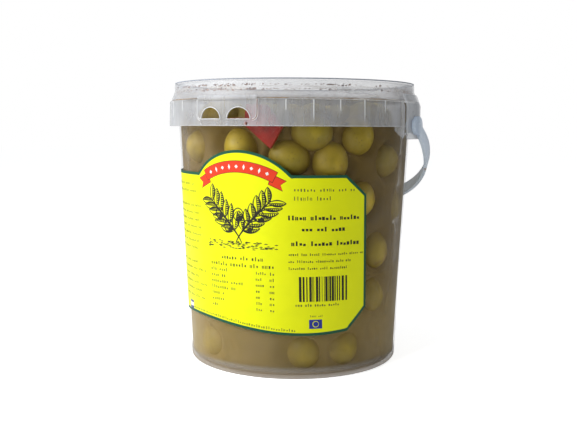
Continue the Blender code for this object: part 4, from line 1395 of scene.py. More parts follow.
@dataclass
class Pepper:
    """The wedge of red pepper that lies against the wall under the pull tab."""

    corners: tuple[Point, ...] = ((18.9, 133.3), (25.0, 146.3), (17.5, 158.0), (7.5, 158.5), (6.3, 147.0))
    middle: float = radians(15.0)
    thickness: float = 3.0 * MM
    gap: float = 0.6 * MM
    clearance: float = 9.6 * MM

    def plane(self) -> tuple[Vector, Vector, Vector, Vector]:
        """The plane just inside the wall that it lies in: origin, across, up and out."""
        low = min(height for _, height in self.corners) * MM
        high = max(height for _, height in self.corners) * MM
        slope = (WALL.inner(high) - WALL.inner(low)) / (high - low)
        out = at(self.middle, 1.0, 0.0)
        across = Vector((cos(self.middle), sin(self.middle), 0.0))
        up = (Vector((0, 0, 1)) + out * slope).normalized()
        half = max(abs(sin(radians(turn) - self.middle)) for turn, _ in self.corners) * WALL.inner(low)
        room = WALL.inner(low) - self.gap
        origin = out * sqrt(room ** 2 - half ** 2) + Vector((0, 0, low))
        return origin, across, up, across.cross(up)

    def flat_corners(self) -> list[Vector]:
        """The wedge's corners in its own plane."""
        low = min(height for _, height in self.corners) * MM
        return [
            Vector((sin(radians(turn) - self.middle) * WALL.inner(low), height * MM - low))
            for turn, height in self.corners
        ]

    def apart(self, spot: Sequence[float]) -> float:
        """How far a point lies outside the wedge's outline, and 0 inside it."""
        origin, across, up, _ = self.plane()
        offset = Vector(spot) - origin
        flat = Vector((offset.dot(across), offset.dot(up)))
        outline = self.flat_corners()
        inside = offset.dot(origin.xy.to_3d()) > 0
        nearest = inf
        for start, end in zip(outline, outline[1:] + outline[:1]):
            edge = end - start
            share = min(1.0, max(0.0, (flat - start).dot(edge) / edge.length_squared))
            nearest = min(nearest, (flat - start - edge * share).length)
            inside = inside and edge.cross(flat - start) > 0
        return 0.0 if inside else nearest

    def is_crossed_by(self, centre: Sequence[float], length: float) -> bool:
        """Whether an olive with this centre and length would reach the wedge."""
        origin, _, _, out = self.plane()
        return abs((Vector(centre) - origin).dot(out)) <= length and self.apart(centre) < self.clearance

    def build(self) -> Piece:
        """Cut the wedge and round it."""
        origin, across, up, out = self.plane()
        outline = [origin + across * corner.x + up * corner.y for corner in self.flat_corners()]
        wedge = slab("pepper_wedge", outline, -out * self.thickness)
        soften(wedge, 0.7 * MM, 4)
        return hand_over(wedge, [PepperFlesh().material()], Body.TUB, ["red_pepper"])


@dataclass
class Olives:
    """The heap of olives: those along the wall and under the lid, over a core of murk."""

    width: float = 20.5 * MM
    length: float = 23.6 * MM
    spacing: float = 21.3 * MM
    crowded: float = 19.6 * MM
    rows: int = 9
    a_row: int = 16
    bottom_row: float = 13.2 * MM
    top_row: float = 150.3 * MM
    wall_gap: float = 0.6 * MM
    heap_top: float = 161.3 * MM
    floor_top: float = 2.1 * MM
    top_rings: tuple[tuple[float, int], ...] = ((39.5 * MM, 12), (19.5 * MM, 6), (0.0, 1))
    rounds: int = 80
    seed: int = 11
    core_foot: float = 2.6 * MM
    core_top: float = 151.0 * MM
    murk_gap: Point = (1.8 * MM, 3.6 * MM)
    socket_depth: Point = (6.4 * MM, 9.5 * MM)
    socket_reach: Point = (14.0 * MM, 14.5 * MM)
    socket_slope: Point = (7.0 * MM, 5.0 * MM)
    socket_width: float = 1.45
    veiled_stretch: Point = (-80, 128)
    veiled_depth: float = 9.2 * MM
    pepper_room: float = 4.0 * MM
    pepper_slope: float = 3.0 * MM
    pepper_depth: float = 8.0 * MM
    showing: tuple[Point, ...] = (
        (-38, 134), (0, 134), (27.5, 128.2), (39.5, 143), (50, 126), (66.5, 141), (92, 126), (70, 104),
        (113, 97), (85, 72), (82, 45), (-27, 14.5), (36, 14), (61, 15), (114, 13), (21, 24),
    )
    ghosts: tuple[Point, ...] = ((11.0, 153.0), (19.0, 151.0), (17.0, 143.0))
    sunk_stretch: Point = (-12, 30)
    sunk_below: float = 34.0 * MM
    sunk_depth: float = 8.0 * MM

    def spot(self, azimuth: float, height: float, depth: float) -> np.ndarray:
        """The centre of an olive that reaches this deep in from the wall."""
        return np.array(at(azimuth, WALL.inner(height) - self.wall_gap - depth, height))

    def first_sites(self, rng: np.random.Generator) -> tuple[list[Point], list[Point], list[Point]]:
        """The sites of the olives that show, of what the pepper keeps clear, and of the rest in rows."""
        fixed = [(radians(turn), height * MM) for turn, height in self.showing]
        ghosts = [(radians(turn), height * MM) for turn, height in self.ghosts]
        free = []
        for row in range(self.rows):
            height = self.bottom_row + (self.top_row - self.bottom_row) * row / (self.rows - 1)
            for index in range(self.a_row):
                azimuth = tau * (index + 0.5 * (row % 2)) / self.a_row
                jitter = rng.uniform(-1.0, 1.0, 2)
                free.append((azimuth + 0.03 * jitter[0], height + 1.5 * MM * jitter[1]))
        half = self.width / 2
        for taken in fixed + ghosts:
            centre = self.spot(*taken, half)
            free.remove(min(free, key=lambda site: np.linalg.norm(self.spot(*site, half) - centre)))
        return fixed, ghosts, free

    def gaps(self, sites: Sequence[Point]) -> tuple[np.ndarray, np.ndarray, np.ndarray]:
        """Centres, unit steps and distances between all pairs of sites."""
        centres = np.array([self.spot(azimuth, height, self.width / 2) for azimuth, height in sites])
        apart = centres[:, None, :] - centres[None, :, :]
        distance = np.linalg.norm(apart, axis=2) + np.eye(len(sites))
        return centres, apart / distance[:, :, None], distance

    def sites(self, rng: np.random.Generator) -> list[Point]:
        """Push the free sites apart, and drop the most crowded one whenever they have settled."""
        fixed, ghosts, free = self.first_sites(rng)
        sites = np.array(fixed + ghosts + free)
        held = len(fixed) + len(ghosts)
        crowding = True
        while crowding:
            for _ in range(self.rounds):
                centres, steps, distance = self.gaps(sites)
                push = np.clip(self.spacing - distance, 0.0, None) * (1 - np.eye(len(sites)))
                move = (steps * push[:, :, None]).sum(axis=1) * 0.45
                turn = move[:, 0] * np.cos(sites[:, 0]) + move[:, 1] * np.sin(sites[:, 0])
                sites[held:, 0] += turn[held:] / np.linalg.norm(centres[:, :2], axis=1)[held:]
                sites[held:, 1] = np.clip(sites[held:, 1] + move[held:, 2], self.bottom_row, self.top_row)
            distance = self.gaps(sites)[2] + np.eye(len(sites))
            nearest = distance[held:].min(axis=1)
            crowding = nearest.min() < self.crowded
            if crowding:
                sites = np.delete(sites, held + int(nearest.argmin()), axis=0)
        return [tuple(site) for site in np.delete(sites, slice(len(fixed), held), axis=0)]

    def turn(self, rng: np.random.Generator, azimuth: float) -> Matrix:
        """A rotation that lays an olive's length near the wall's tangent plane, at a random slant."""
        slant = rng.uniform(0.0, pi)
        lean = rng.uniform(-0.4, 0.4)
        across = Matrix.Rotation(azimuth, 3, "Z") @ Vector((1, 0, 0))
        along = across * cos(slant) + Vector((0, 0, 1)) * sin(slant)
        length = along * cos(lean) + at(azimuth, 1.0, 0.0) * sin(lean)
        return length.to_track_quat("Z", "Y").to_matrix()

    def reach(self, turn: Matrix, direction: Vector) -> float:
        """How far an olive reaches from its centre in a direction."""
        local = turn.transposed() @ direction
        return Vector((local.x * self.width / 2, local.y * self.width / 2, local.z * self.length / 2)).length

    def settled(self, turn: Matrix, height: float) -> float:
        """An olive's height once it is clear of the floor and of the brine's surface."""
        room = self.reach(turn, Vector((0, 0, 1)))
        return min(max(height, self.floor_top + self.wall_gap + room), self.heap_top - room)

    def sunk(self, azimuth: float, height: float) -> float:
        """How far an olive lies behind the wall because the brine hides it there."""
        low, high = (radians(edge) for edge in self.sunk_stretch)
        return self.sunk_depth if low < within_turn(azimuth) < high and height < self.sunk_below else 0.0

    def places(self, label: "Label", pepper: Pepper) -> list[tuple[Vector, Matrix]]:
        """Centre and rotation of each olive that shows.

        Args:
            label: hides the olives behind it, which are left out.
            pepper: keeps its own room.

        Returns:
            The places along the wall and then those under the lid.
        """
        rng = np.random.default_rng(self.seed)
        found = []
        low, high = (radians(edge) for edge in self.veiled_stretch)
        for index, (azimuth, height) in enumerate(self.sites(rng)):
            turn = self.turn(rng, azimuth)
            height = self.settled(turn, height)
            veiled = index >= len(self.showing) and low < within_turn(azimuth) < high
            sunk = self.veiled_depth if veiled else self.sunk(azimuth, height)
            depth = self.reach(turn, at(azimuth, 1.0, 0.0)) + sunk
            centre = Vector(self.spot(azimuth, height, depth))
            if not label.hides(azimuth, height) and not pepper.is_crossed_by(centre, self.length):
                found.append((centre, turn))
        for radius, count in self.top_rings:
            for index in range(count):
                azimuth = tau * (index + 0.5) / count
                turn = self.turn(rng, azimuth)
                height = self.settled(turn, self.top_row - rng.uniform(0.0, 2.5) * MM)
                found.append((at(azimuth, radius, height), turn))
        return found

    def model(self) -> Piece:
        """One olive: a sphere drawn out to its length, with a blunt tip and a dimple at the stalk."""
        bpy.ops.mesh.primitive_uv_sphere_add(
            segments=24, ring_count=16, radius=self.width / 2, scale=(1, 1, self.length / self.width),
        )
        olive = newest("olive")
        for vertex in olive.data.vertices:
            share = vertex.co.z / (self.length / 2)
            slim = 1.0 - 0.05 * share - 0.04 * share ** 4
            vertex.co.x *= slim
            vertex.co.y *= slim
            if share < -0.97:
                vertex.co.z += 0.7 * MM
        return olive

    def murk_depth(self, spot: Vector, centres: np.ndarray, pepper: Pepper) -> float:
        """How far behind the wall the murk starts: nearest between the olives, and deep behind olives and pepper.

        Args:
            spot: a point of the wall.
            centres: (azimuth, height) of the olives.
            pepper: the wedge of pepper.

        Returns:
            The depth.
        """
        level = ease((spot.z - MURK.thick_below) / (MURK.clear_above - MURK.thick_below))
        gap, socket, reach, slope = (
            low + (high - low) * level
            for low, high in (self.murk_gap, self.socket_depth, self.socket_reach, self.socket_slope)
        )
        azimuth = atan2(spot.x, -spot.y)
        turns = within_turn(centres[:, 0] - azimuth)
        across = turns * WALL.inner(spot.z) / self.socket_width
        nearest = float(np.hypot(across, centres[:, 1] - spot.z).min())
        depth = gap + (socket - gap) * ease((reach - nearest) / slope)
        behind = ease((self.pepper_room - pepper.apart(spot)) / self.pepper_slope)
        return max(depth, gap + (self.pepper_depth - gap) * behind)

    def build_core(self, places: Sequence[tuple[Vector, Matrix]], pepper: Pepper) -> Piece:
        """The murk between the olives, past which nothing shows.

        Args:
            places: where the olives lie.
            pepper: the wedge of pepper.

        Returns:
            The murk, with a hollow round each olive.
        """
        heights = [height * MM for height in np.arange(self.core_foot / MM, self.core_top / MM, 2.4)]
        profile = [(0.0, self.core_foot)] + [(WALL.inner(height), height) for height in heights]
        core = turned("murk_core", profile + [(0.0, heights[-1])], 192)
        centres = np.array([
            (atan2(spot.x, -spot.y), spot.z) for spot, turn in places
            if spot.xy.length + self.reach(turn, spot.xy.to_3d().normalized()) > WALL.inner(spot.z) - 2 * MM
        ])
        for vertex in core.data.vertices:
            radius = vertex.co.xy.length
            if radius > 1 * MM:
                depth = self.murk_depth(vertex.co, centres, pepper)
                vertex.co.xy *= (radius - depth) / radius
        return hand_over(core, [MURK.heart()], Body.TUB, smooth=80.0)

    def build(self, label: "Label", pepper: Pepper) -> list[Piece]:
        """Place the olives over their core."""
        model = self.model()
        rng = np.random.default_rng(self.seed + 1)
        olives = []
        places = self.places(label, pepper)
        for centre, turn in places:
            size = rng.uniform(1.03, 1.09)
            inward = (1.0 - size) * self.length / 2
            outward = centre.xy.normalized() if centre.xy.length > 50 * MM else Vector((0, 0))
            centre = centre + Vector((outward.x, outward.y, 0.0 if outward.length else 1.0)) * inward
            olive = copied(model, Matrix.Translation(centre) @ turn.to_4x4() @ Matrix.Scale(size, 4))
            tint = olive.data.attributes.new("tint", "FLOAT", "POINT")
            share = float(np.clip(rng.normal(0.5, 0.22), 0.0, 1.0))
            tint.data.foreach_set("value", [share] * len(olive.data.vertices))
            olives.append(olive)
        discard(model)
        heap = hand_over(
            joined("whole_olives", olives), [OliveSkin().material()], Body.TUB, ["olives"], 80.0,
        )
        return [heap, self.build_core(places, pepper)]


@dataclass
class Brine:
    """The cloudy liquid, which reaches just into the wall and up to the lid's panel."""

    steps: int = 128
    into_wall: float = 0.3 * MM
    foot: float = 1.9 * MM
    top: float = 161.0 * MM

    def build(self) -> Piece:
        """Spin the liquid's body."""
        profile = [
            (0.0, self.top), (WALL.inner(self.top) + self.into_wall, self.top),
            (WALL.inner(self.foot + 2 * MM) + self.into_wall, self.foot + 2 * MM),
            (WALL.inner(self.foot) - 1.2 * MM, self.foot), (0.0, self.foot),
        ]
        return hand_over(turned("brine", profile, self.steps), [MURK.skin()], Body.TUB)


# ---------------------------------------------------------------- the label


class Sheet:
    """One ink's flat shapes, laid out along the label and up it, and then wrapped onto the wall."""

    column = 2.4 * MM

    def __init__(self, name: str, ink: Ink, lift: float) -> None:
        """Start an empty sheet.

        Args:
            name: the sheet's name.
            ink: its colour.
            lift: how far its shapes lie above the film.
        """
        self.name = name
        self.ink = ink
        self.lift = lift
        self.outlines: list[list[Point]] = []

    def patch(self, outline: Sequence[Point]) -> None:
        """Add a filled shape with this outline of (along, height) points."""
        self.outlines.append(list(outline))

    def bar(self, along: float, height: float, width: float, rise: float) -> None:
        """Add a rectangle by its middle and its size."""
        across, up = width / 2, rise / 2
        self.patch([(along + x * across, height + z * up) for x, z in ((-1, -1), (1, -1), (1, 1), (-1, 1))])

    def stroke(self, line: Sequence[Point], width: float, taper: float = 0.65) -> None:
        """Add a pen stroke along a line.

        Args:
            line: (along, height) points.
            width: its greatest width.
            taper: the share of the width that it loses towards its ends.
        """
        left = []
        right = []
        count = len(line) - 1
        for index, (along, height) in enumerate(line):
            before = line[max(0, index - 1)]
            after = line[min(count, index + 1)]
            step = Vector((after[0] - before[0], after[1] - before[1])).normalized()
            half = width / 2 * (1.0 - taper + taper * sin(pi * index / count))
            left.append((along - step.y * half, height + step.x * half))
            right.append((along + step.y * half, height - step.x * half))
        for index in range(count):
            self.patch([left[index], right[index], right[index + 1], left[index + 1]])

    def draw(self) -> Piece:
        """Add a polygon for each outline and give it its corners."""
        piece = placed(self.name, bpy.data.meshes.new(self.name))
        piece.data.materials.append(self.ink.material())
        with editing(piece):
            for outline in self.outlines:
                bpy.ops.mesh.primitive_circle_add(vertices=len(outline), radius=MM, fill_type="NGON")
        corners = [(along, 0.0, height) for outline in self.outlines for along, height in outline]
        for vertex, corner in zip(piece.data.vertices, corners):
            vertex.co = corner
        return piece

    def wrap(self, label: "Label") -> Piece:
        """Cut the shapes into columns and lay them on the film.

        Args:
            label: the film.

        Returns:
            The wrapped shapes.
        """
        piece = self.draw()
        low = min(vertex.co.x for vertex in piece.data.vertices)
        high = max(vertex.co.x for vertex in piece.data.vertices)
        with editing(piece):
            for index in range(floor(low / self.column), ceil(high / self.column)):
                bpy.ops.mesh.select_all(action="SELECT")
                bpy.ops.mesh.bisect(plane_co=(index * self.column, 0, 0), plane_no=(1, 0, 0))
            shape = bmesh.from_edit_mesh(piece.data)
            shape.normal_update()
            choose(piece, Pick.FACES, lambda face: face.normal.y > 0)
            bpy.ops.mesh.flip_normals()
        for vertex in piece.data.vertices:
            vertex.co = label.on_wall(vertex.co.x, vertex.co.z, label.proud + self.lift)
        return piece


# Small blocks that fill a row of print: place across, width, and foot and head as shares of the row
MARKS = (
    ((0.0, 1.0, 0.0, 0.72),),
    ((-0.25, 0.45, 0.0, 0.72), (0.2, 0.45, 0.0, 0.72)),
    ((0.0, 0.6, 0.0, 1.0),),
    ((0.0, 0.9, 0.0, 0.5),),
    ((0.05, 0.9, 0.1, 0.62),),
)


@dataclass
class Label:
    """The printed film: a yellow field with a dark green border, and plain shapes in the place of its print."""

    middle: float = radians(4.6)
    proud: float = 0.6 * MM
    thickness: float = 0.3 * MM
    left: float = -98.0 * MM
    right: float = 75.7 * MM
    top: float = 119.0 * MM
    foot: float = 29.4 * MM
    wave: float = 3.0 * MM
    crest: float = -38.0 * MM
    wave_length: float = 150.0 * MM
    corner: Point = (13.4 * MM, 11.5 * MM)
    arch_middle: float = -0.8 * MM
    arch_half: float = 31.2 * MM
    arch_rise: float = 13.8 * MM
    border: float = 1.6 * MM
    step: float = 1.6 * MM
    seed: int = 5
    yellow: Ink = Ink("yellow_ink", paint(244, 250, 0), paint(238, 245, 0), 0.28)
    green: Ink = Ink("green_ink", paint(22, 84, 64), paint(30, 92, 70), 0.3)
    red: Ink = Ink("red_ink", paint(236, 66, 36), paint(228, 60, 34), 0.3)
    dark_red: Ink = Ink("dark_red_ink", paint(122, 34, 22), paint(132, 40, 26), 0.3)
    black: Ink = Ink("black_ink", paint(38, 38, 30), paint(52, 52, 36), 0.35)
    grey: Ink = Ink("grey_ink", paint(94, 99, 40), paint(108, 112, 44), 0.35)
    white: Ink = Ink("white_ink", paint(244, 244, 240), paint(236, 236, 230), 0.3)
    blue: Ink = Ink("blue_ink", paint(38, 52, 150), paint(46, 60, 158), 0.3)

    def top_edge(self, along: float) -> float:
        """The height of the upper edge."""
        from_end = min(self.right - along, along - self.left)
        height = self.top - self.corner[1] * max(0.0, 1.0 - from_end / self.corner[0])
        offset = along - self.arch_middle
        if abs(offset) < self.arch_half:
            radius = (self.arch_half ** 2 + self.arch_rise ** 2) / (2 * self.arch_rise)
            height += self.arch_rise - radius + sqrt(radius ** 2 - offset ** 2)
        return height

    def foot_edge(self, along: float) -> float:
        """The height of the lower edge, which runs in one shallow wave."""
        from_end = min(self.right - along, along - self.left)
        wave = cos(tau * (along - self.crest) / self.wave_length)
        return self.foot + self.wave * wave + self.corner[1] * max(0.0, 1.0 - from_end / self.corner[0])

    def hides(self, azimuth: float, height: float) -> bool:
        """Whether the label hides an olive from every side."""
        along = within_turn(azimuth - self.middle) * WALL.outer(height)
        margin = 10.0 * MM
        if not self.left + margin < along < self.right - margin:
            return False
        return self.foot_edge(along) + margin < height < self.top_edge(along) - margin

    def on_wall(self, along: float, height: float, lift: float) -> Vector:
        """The place on the wall of a point of the flat label."""
        return at(self.middle + along / WALL.outer(height), WALL.outer(height) + lift, height)

    def along(self, azimuth: float, height: float) -> float:
        """How far along the flat label an azimuth in degrees lies, at a height in millimetres."""
        return (radians(azimuth) - self.middle) * WALL.outer(height * MM)

    def stations(self) -> list[float]:
        """Places along the label, with one at each corner of its outline and of its border."""
        cut = self.corner[0]
        breaks = [
            self.left, self.left + self.border, self.left + cut, self.arch_middle - self.arch_half,
            self.arch_middle, self.arch_middle + self.arch_half, self.right - cut, self.right - self.border,
            self.right,
        ]
        found = []
        for start, end in zip(breaks, breaks[1:]):
            count = ceil((end - start) / self.step)
            found += [start + (end - start) * index / count for index in range(count)]
        return found + [self.right]

    def inset(self, edge: Callable[[float], float], along: float, side: int) -> float:
        """The height of the border's inner line, as far from a slanting edge as from a level one."""
        slope = (edge(along + 0.1 * MM) - edge(along - 0.1 * MM)) / (0.2 * MM)
        return edge(along) + side * self.border * sqrt(1 + min(1.2, slope ** 2))

    def build_film(self) -> Piece:
        """A grid drawn to the label's outline, wrapped onto the wall and thickened."""
        stations = self.stations()
        count = len(stations) - 1
        bpy.ops.mesh.primitive_grid_add(x_subdivisions=count, y_subdivisions=3, size=1.0)
        film = newest("label_film")
        for ink in (self.green, self.yellow):
            film.data.materials.append(ink.material())
        inner = (stations.index(self.left + self.border), stations.index(self.right - self.border))
        cells = [(round((v.co.x + 0.5) * count), round((v.co.y + 0.5) * 3)) for v in film.data.vertices]
        for face in film.data.polygons:
            columns = [cells[index][0] for index in face.vertices]
            rows = [cells[index][1] for index in face.vertices]
            field_face = min(columns) >= inner[0] and max(columns) <= inner[1] and sorted(rows) == [1, 1, 2, 2]
            face.material_index = 1 if field_face else 0
        for vertex, (column, row) in zip(film.data.vertices, cells):
            along = stations[column]
            height = (
                self.foot_edge(along), self.inset(self.foot_edge, along, 1),
                self.inset(self.top_edge, along, -1), self.top_edge(along),
            )[row]
            vertex.co = self.on_wall(along, height, self.proud)
        pick(film)
        thick = film.modifiers.new("thickness", "SOLIDIFY")
        thick.thickness = self.thickness
        thick.offset = -1.0
        bpy.ops.object.modifier_apply(modifier=thick.name)
        return hand_over(film, [film.data.materials[0], film.data.materials[1]], Body.TUB, ["label"])

    def band(self, sheet: Sheet, radius: float, centre: Point, half: float, depth: float, grow: float) -> None:
        """Add an arched band.

        Args:
            sheet: the ink's sheet.
            radius: the upper edge's radius.
            centre: the arcs' centre.
            half: half the band's angle.
            depth: its depth.
            grow: how much wider it is all round.
        """
        turns = [-half - grow / radius + 2 * (half + grow / radius) * index / 24 for index in range(25)]
        outer = [(centre[0] + (radius + grow) * sin(t), centre[1] + (radius + grow) * cos(t)) for t in turns]
        inner = [
            (centre[0] + (radius - depth - grow) * sin(t), centre[1] + (radius - depth - grow) * cos(t))
            for t in turns
        ]
        sheet.patch(outer + inner[::-1])

    def build_ribbon(self) -> list[Piece]:
        """A plain red band under the arch with folded ends and a row of white lozenges."""
        radius = 51.9 * MM
        centre = (self.arch_middle - 1.0 * MM, 126.6 * MM - radius)
        half = asin(24.4 / 51.9)
        outline = Sheet("ribbon_outline", self.dark_red, 0.02 * MM)
        tails = Sheet("ribbon_tails", self.red, 0.04 * MM)
        for side in (-1, 1):
            tail = [(21.2, 119.2), (29.2, 115.6), (26.0, 113.6), (27.0, 110.4), (19.4, 113.8)]
            points = [(centre[0] + side * x * MM, z * MM) for x, z in tail]
            middle = (sum(x for x, _ in points) / 5, sum(z for _, z in points) / 5)
            tails.patch(points)
            outline.patch([
                (middle[0] + (x - middle[0]) * 1.09, middle[1] + (z - middle[1]) * 1.13) for x, z in points
            ])
        backing = Sheet("ribbon_backing", self.dark_red, 0.06 * MM)
        self.band(backing, radius, centre, half, 6.3 * MM, 0.3 * MM)
        face = Sheet("ribbon_face", self.red, 0.08 * MM)
        self.band(face, radius, centre, half, 6.3 * MM, 0.0)
        marks = Sheet("ribbon_marks", self.white, 0.1 * MM)
        for index in range(9):
            turn = half * (index - 4) / 5.0
            out = radius - 3.15 * MM
            spot = (centre[0] + out * sin(turn), centre[1] + out * cos(turn))
            tall, wide = (1.7 * MM, 0.75 * MM) if index % 2 else (1.1 * MM, 1.1 * MM)
            axes = ((sin(turn), cos(turn)), (cos(turn), -sin(turn)))
            marks.patch([
                (spot[0] + axes[0][0] * up + axes[1][0] * aside, spot[1] + axes[0][1] * up + axes[1][1] * aside)
                for up, aside in ((tall, 0), (0, wide), (-tall, 0), (0, -wide))
            ])
        return [sheet.wrap(self) for sheet in (outline, tails, backing, face, marks)]

    def leaf(self, black: Sheet, root: Point, aim: float, long: float, wide: float) -> None:
        """Draw one olive leaf: its outline, its midrib and one half in shadow."""
        ahead = Vector((cos(aim), sin(aim)))
        aside = Vector((-ahead.y, ahead.x))
        start = Vector(root)
        shares = [index / 10 for index in range(11)]
        upper, lower, rib = (
            [start + ahead * long * s + aside * side * wide * sin(pi * s) ** 0.8 for s in shares]
            for side in (1, -1, 0)
        )
        for line, width in ((upper, 0.7), (lower, 0.95), (rib, 0.5)):
            black.stroke([tuple(point) for point in line], width * MM)
        for index in range(1, 10):
            middle = (rib[index] + lower[index]) / 2
            black.stroke([tuple(rib[index]), tuple(middle), tuple(lower[index])], 0.75 * MM, 0.2)

    def fruit(self, black: Sheet, middle: Point, size: float) -> None:
        """Draw one olive: a ring and a crescent of shadow."""
        turns = [tau * index / 24 for index in range(25)]
        ring = [(middle[0] + size * cos(t), middle[1] + 1.15 * size * sin(t)) for t in turns]
        black.stroke(ring, 0.7 * MM, 0.1)
        for share in (0.86, 0.7, 0.54, 0.38):
            arc = [-2.1 + 2.0 * index / 8 for index in range(9)]
            black.stroke([
                (middle[0] + share * size * cos(t), middle[1] + 1.15 * share * size * sin(t)) for t in arc
            ], 0.7 * MM)

    def build_drawing(self) -> Piece:
        """Two crossing olive sprigs in black pen strokes, over a few strokes of ground."""
        black = Sheet("sprig_drawing", self.black, 0.02 * MM)
        rng = np.random.default_rng(self.seed)
        centre = (-1.3 * MM, 93.5 * MM)
        for side in (-1, 1):
            stem = []
            for index in range(15):
                share = index / 14
                along = side * (2.0 - 22.0 * share) * MM
                height = (-14.0 + 25.0 * share ** 0.8) * MM
                stem.append((centre[0] + along, centre[1] + height))
            black.stroke(stem, 1.4 * MM)
            for index in range(3, 15, 2):
                step = Vector(stem[index]) - Vector(stem[index - 1])
                aim = atan2(step.y, step.x)
                for swing in (-0.85, 0.75):
                    long = rng.uniform(9.0, 12.5) * MM * (1.0 if index < 13 else 0.85)
                    self.leaf(black, stem[index], aim + swing * side, long, rng.uniform(1.7, 2.3) * MM)
        for x, z, size in ((-6.5, -4.5, 3.0), (0.0, 2.5, 3.2), (6.0, -4.0, 3.1), (-13.0, 2.5, 2.7), (13.2, 1.8, 2.8)):
            self.fruit(black, (centre[0] + x * MM, centre[1] + z * MM), size * MM)
        for index in range(90):
            along = centre[0] + rng.uniform(-23, 22) * MM
            height = centre[1] + rng.uniform(-17.5, -13.2) * MM
            black.stroke([(along, height), (along + 1 * MM, height + 0.1 * MM), (along + 2 * MM, height)], 0.6 * MM)
        return black.wrap(self)

    def row(
        self, sheet: Sheet, rng: np.random.Generator, start: Point, end: float, tall: float, heavy: float,
    ) -> None:
        """Fill a row with small blocks in groups, in the place of a line of print.

        Args:
            sheet: the ink's sheet.
            rng: picks the groups and the blocks.
            start: azimuth in degrees where it starts, and its height in millimetres.
            end: azimuth in degrees where it ends.
            tall: height of its tallest blocks in millimetres.
            heavy: share of the pitch that a full block takes.
        """
        along = self.along(start[0], start[1])
        last = self.along(end, start[1])
        pitch = 0.8 * tall * MM
        foot = start[1] * MM - tall * MM / 2
        left = int(rng.integers(3, 9))
        while along < last:
            if left == 0:
                left = int(rng.integers(3, 10))
            else:
                left -= 1
                for across, width, low, high in MARKS[int(rng.integers(len(MARKS)))]:
                    rise = (high - low) * tall * MM
                    middle = foot + (low + high) / 2 * tall * MM
                    sheet.bar(along + (0.5 + across) * pitch, middle, width * heavy * pitch, rise)
            along += pitch

    def build_rows(self) -> list[Piece]:
        """Rows of bars where the label has its lines of print."""
        rng = np.random.default_rng(self.seed + 1)
        black = Sheet("dark_rows", self.black, 0.02 * MM)
        for start, end in (((27.0, 95.0), 60.5), ((33.4, 88.5), 53.0), ((28.8, 80.3), 62.3)):
            self.row(black, rng, start, end, 2.7, 0.74)
        for start, end in (((27.5, 74.0), 65.0), ((27.5, 70.0), 58.0), ((27.5, 66.0), 55.4)):
            self.row(black, rng, start, end, 1.5, 0.56)
        for start, end in (((-7, 70.7), 15.0), ((-14, 66.6), 20.0)):
            self.row(black, rng, start, end, 2.3, 0.5)
        grey = Sheet("light_rows", self.grey, 0.02 * MM)
        for start, end in (((29.6, 111.0), 57.7), ((29.6, 106.0), 46.7)):
            self.row(grey, rng, start, end, 2.3, 0.42)
        for index, end in enumerate((-2.0, -5.5, 5.0, 0.5, -7.0, -6.5, -11.5)):
            height = 63.0 - 3.55 * index
            self.row(grey, rng, (-14.4, height), end, 2.1, 0.5)
            self.row(grey, rng, (11.8, height - 0.4), (16.5, 16.0, 16.0, 13.2, 13.2, 14.2, 14.2)[index], 1.6, 0.6)
            self.row(grey, rng, (18.6, height - 0.6), 20.3, 1.9, 0.6)
        for index in range(17):
            height = 112.0 - 4.3 * index
            if index not in (2, 10):
                self.row(grey, rng, (-52.0, height), -26.0 + 8.0 * rng.random(), 1.8, 0.5)
        self.row(grey, rng, (31.0, 44.5), 53.5, 1.7, 0.6)
        self.row(grey, rng, (38.0, 38.0), 44.0, 1.2, 0.5)
        azimuth = -36.0
        while azimuth < 31.0:
            height = self.foot_edge(self.along(azimuth, 30.0)) / MM + 3.1
            self.row(grey, rng, (azimuth, height), azimuth + 2.2, 1.7, 0.5)
            azimuth += 2.5
        return [black.wrap(self), grey.wrap(self)]

    def build_stripes(self) -> Piece:
        """A block of upright stripes of seeded widths, which stands for a scanner's code and holds none."""
        rng = np.random.default_rng(self.seed + 2)
        black = Sheet("stripe_block", self.black, 0.02 * MM)
        along = self.along(32.7, 54.0)
        last = self.along(57.0, 54.0)
        while along < last:
            width = rng.choice([0.35, 0.35, 0.7, 1.05, 1.4]) * MM
            black.bar(along + width / 2, 53.8 * MM, width, 14.6 * MM)
            along += width + rng.choice([0.35, 0.35, 0.7, 1.0]) * MM
        return black.wrap(self)

    def build_badges(self) -> list[Piece]:
        """A blue oblong with a plain yellow ring, and a small badge of blue and white bars."""
        blue = Sheet("badge_blue", self.blue, 0.02 * MM)
        middle = (self.along(41.0, 33.2), 33.2 * MM)
        blue.bar(*middle, 7.6 * MM, 5.4 * MM)
        small = (self.along(-37.0, 36.0), 36.2 * MM)
        blue.bar(small[0], small[1] + 1.9 * MM, 6.6 * MM, 1.3 * MM)
        blue.bar(small[0], small[1] - 1.9 * MM, 6.6 * MM, 1.3 * MM)
        white = Sheet("badge_white", self.white, 0.02 * MM)
        white.bar(*small, 6.6 * MM, 2.4 * MM)
        ring = Sheet("badge_ring", self.yellow, 0.05 * MM)
        turns = [tau * index / 20 for index in range(21)]
        radius = 1.7 * MM
        ring.stroke([(middle[0] + radius * cos(t), middle[1] + radius * sin(t)) for t in turns], 0.45 * MM)
        return [sheet.wrap(self) for sheet in (blue, white, ring)]

    def build(self) -> list[Piece]:
        """Build the film and its print."""
        film = self.build_film()
        sheets = self.build_ribbon() + [self.build_drawing()] + self.build_rows()
        sheets += [self.build_stripes()] + self.build_badges()
        print_piece = joined("label_print", sheets)
        return [film, hand_over(print_piece, list(print_piece.data.materials), Body.TUB)]


# ---------------------------------------------------------------- the studio


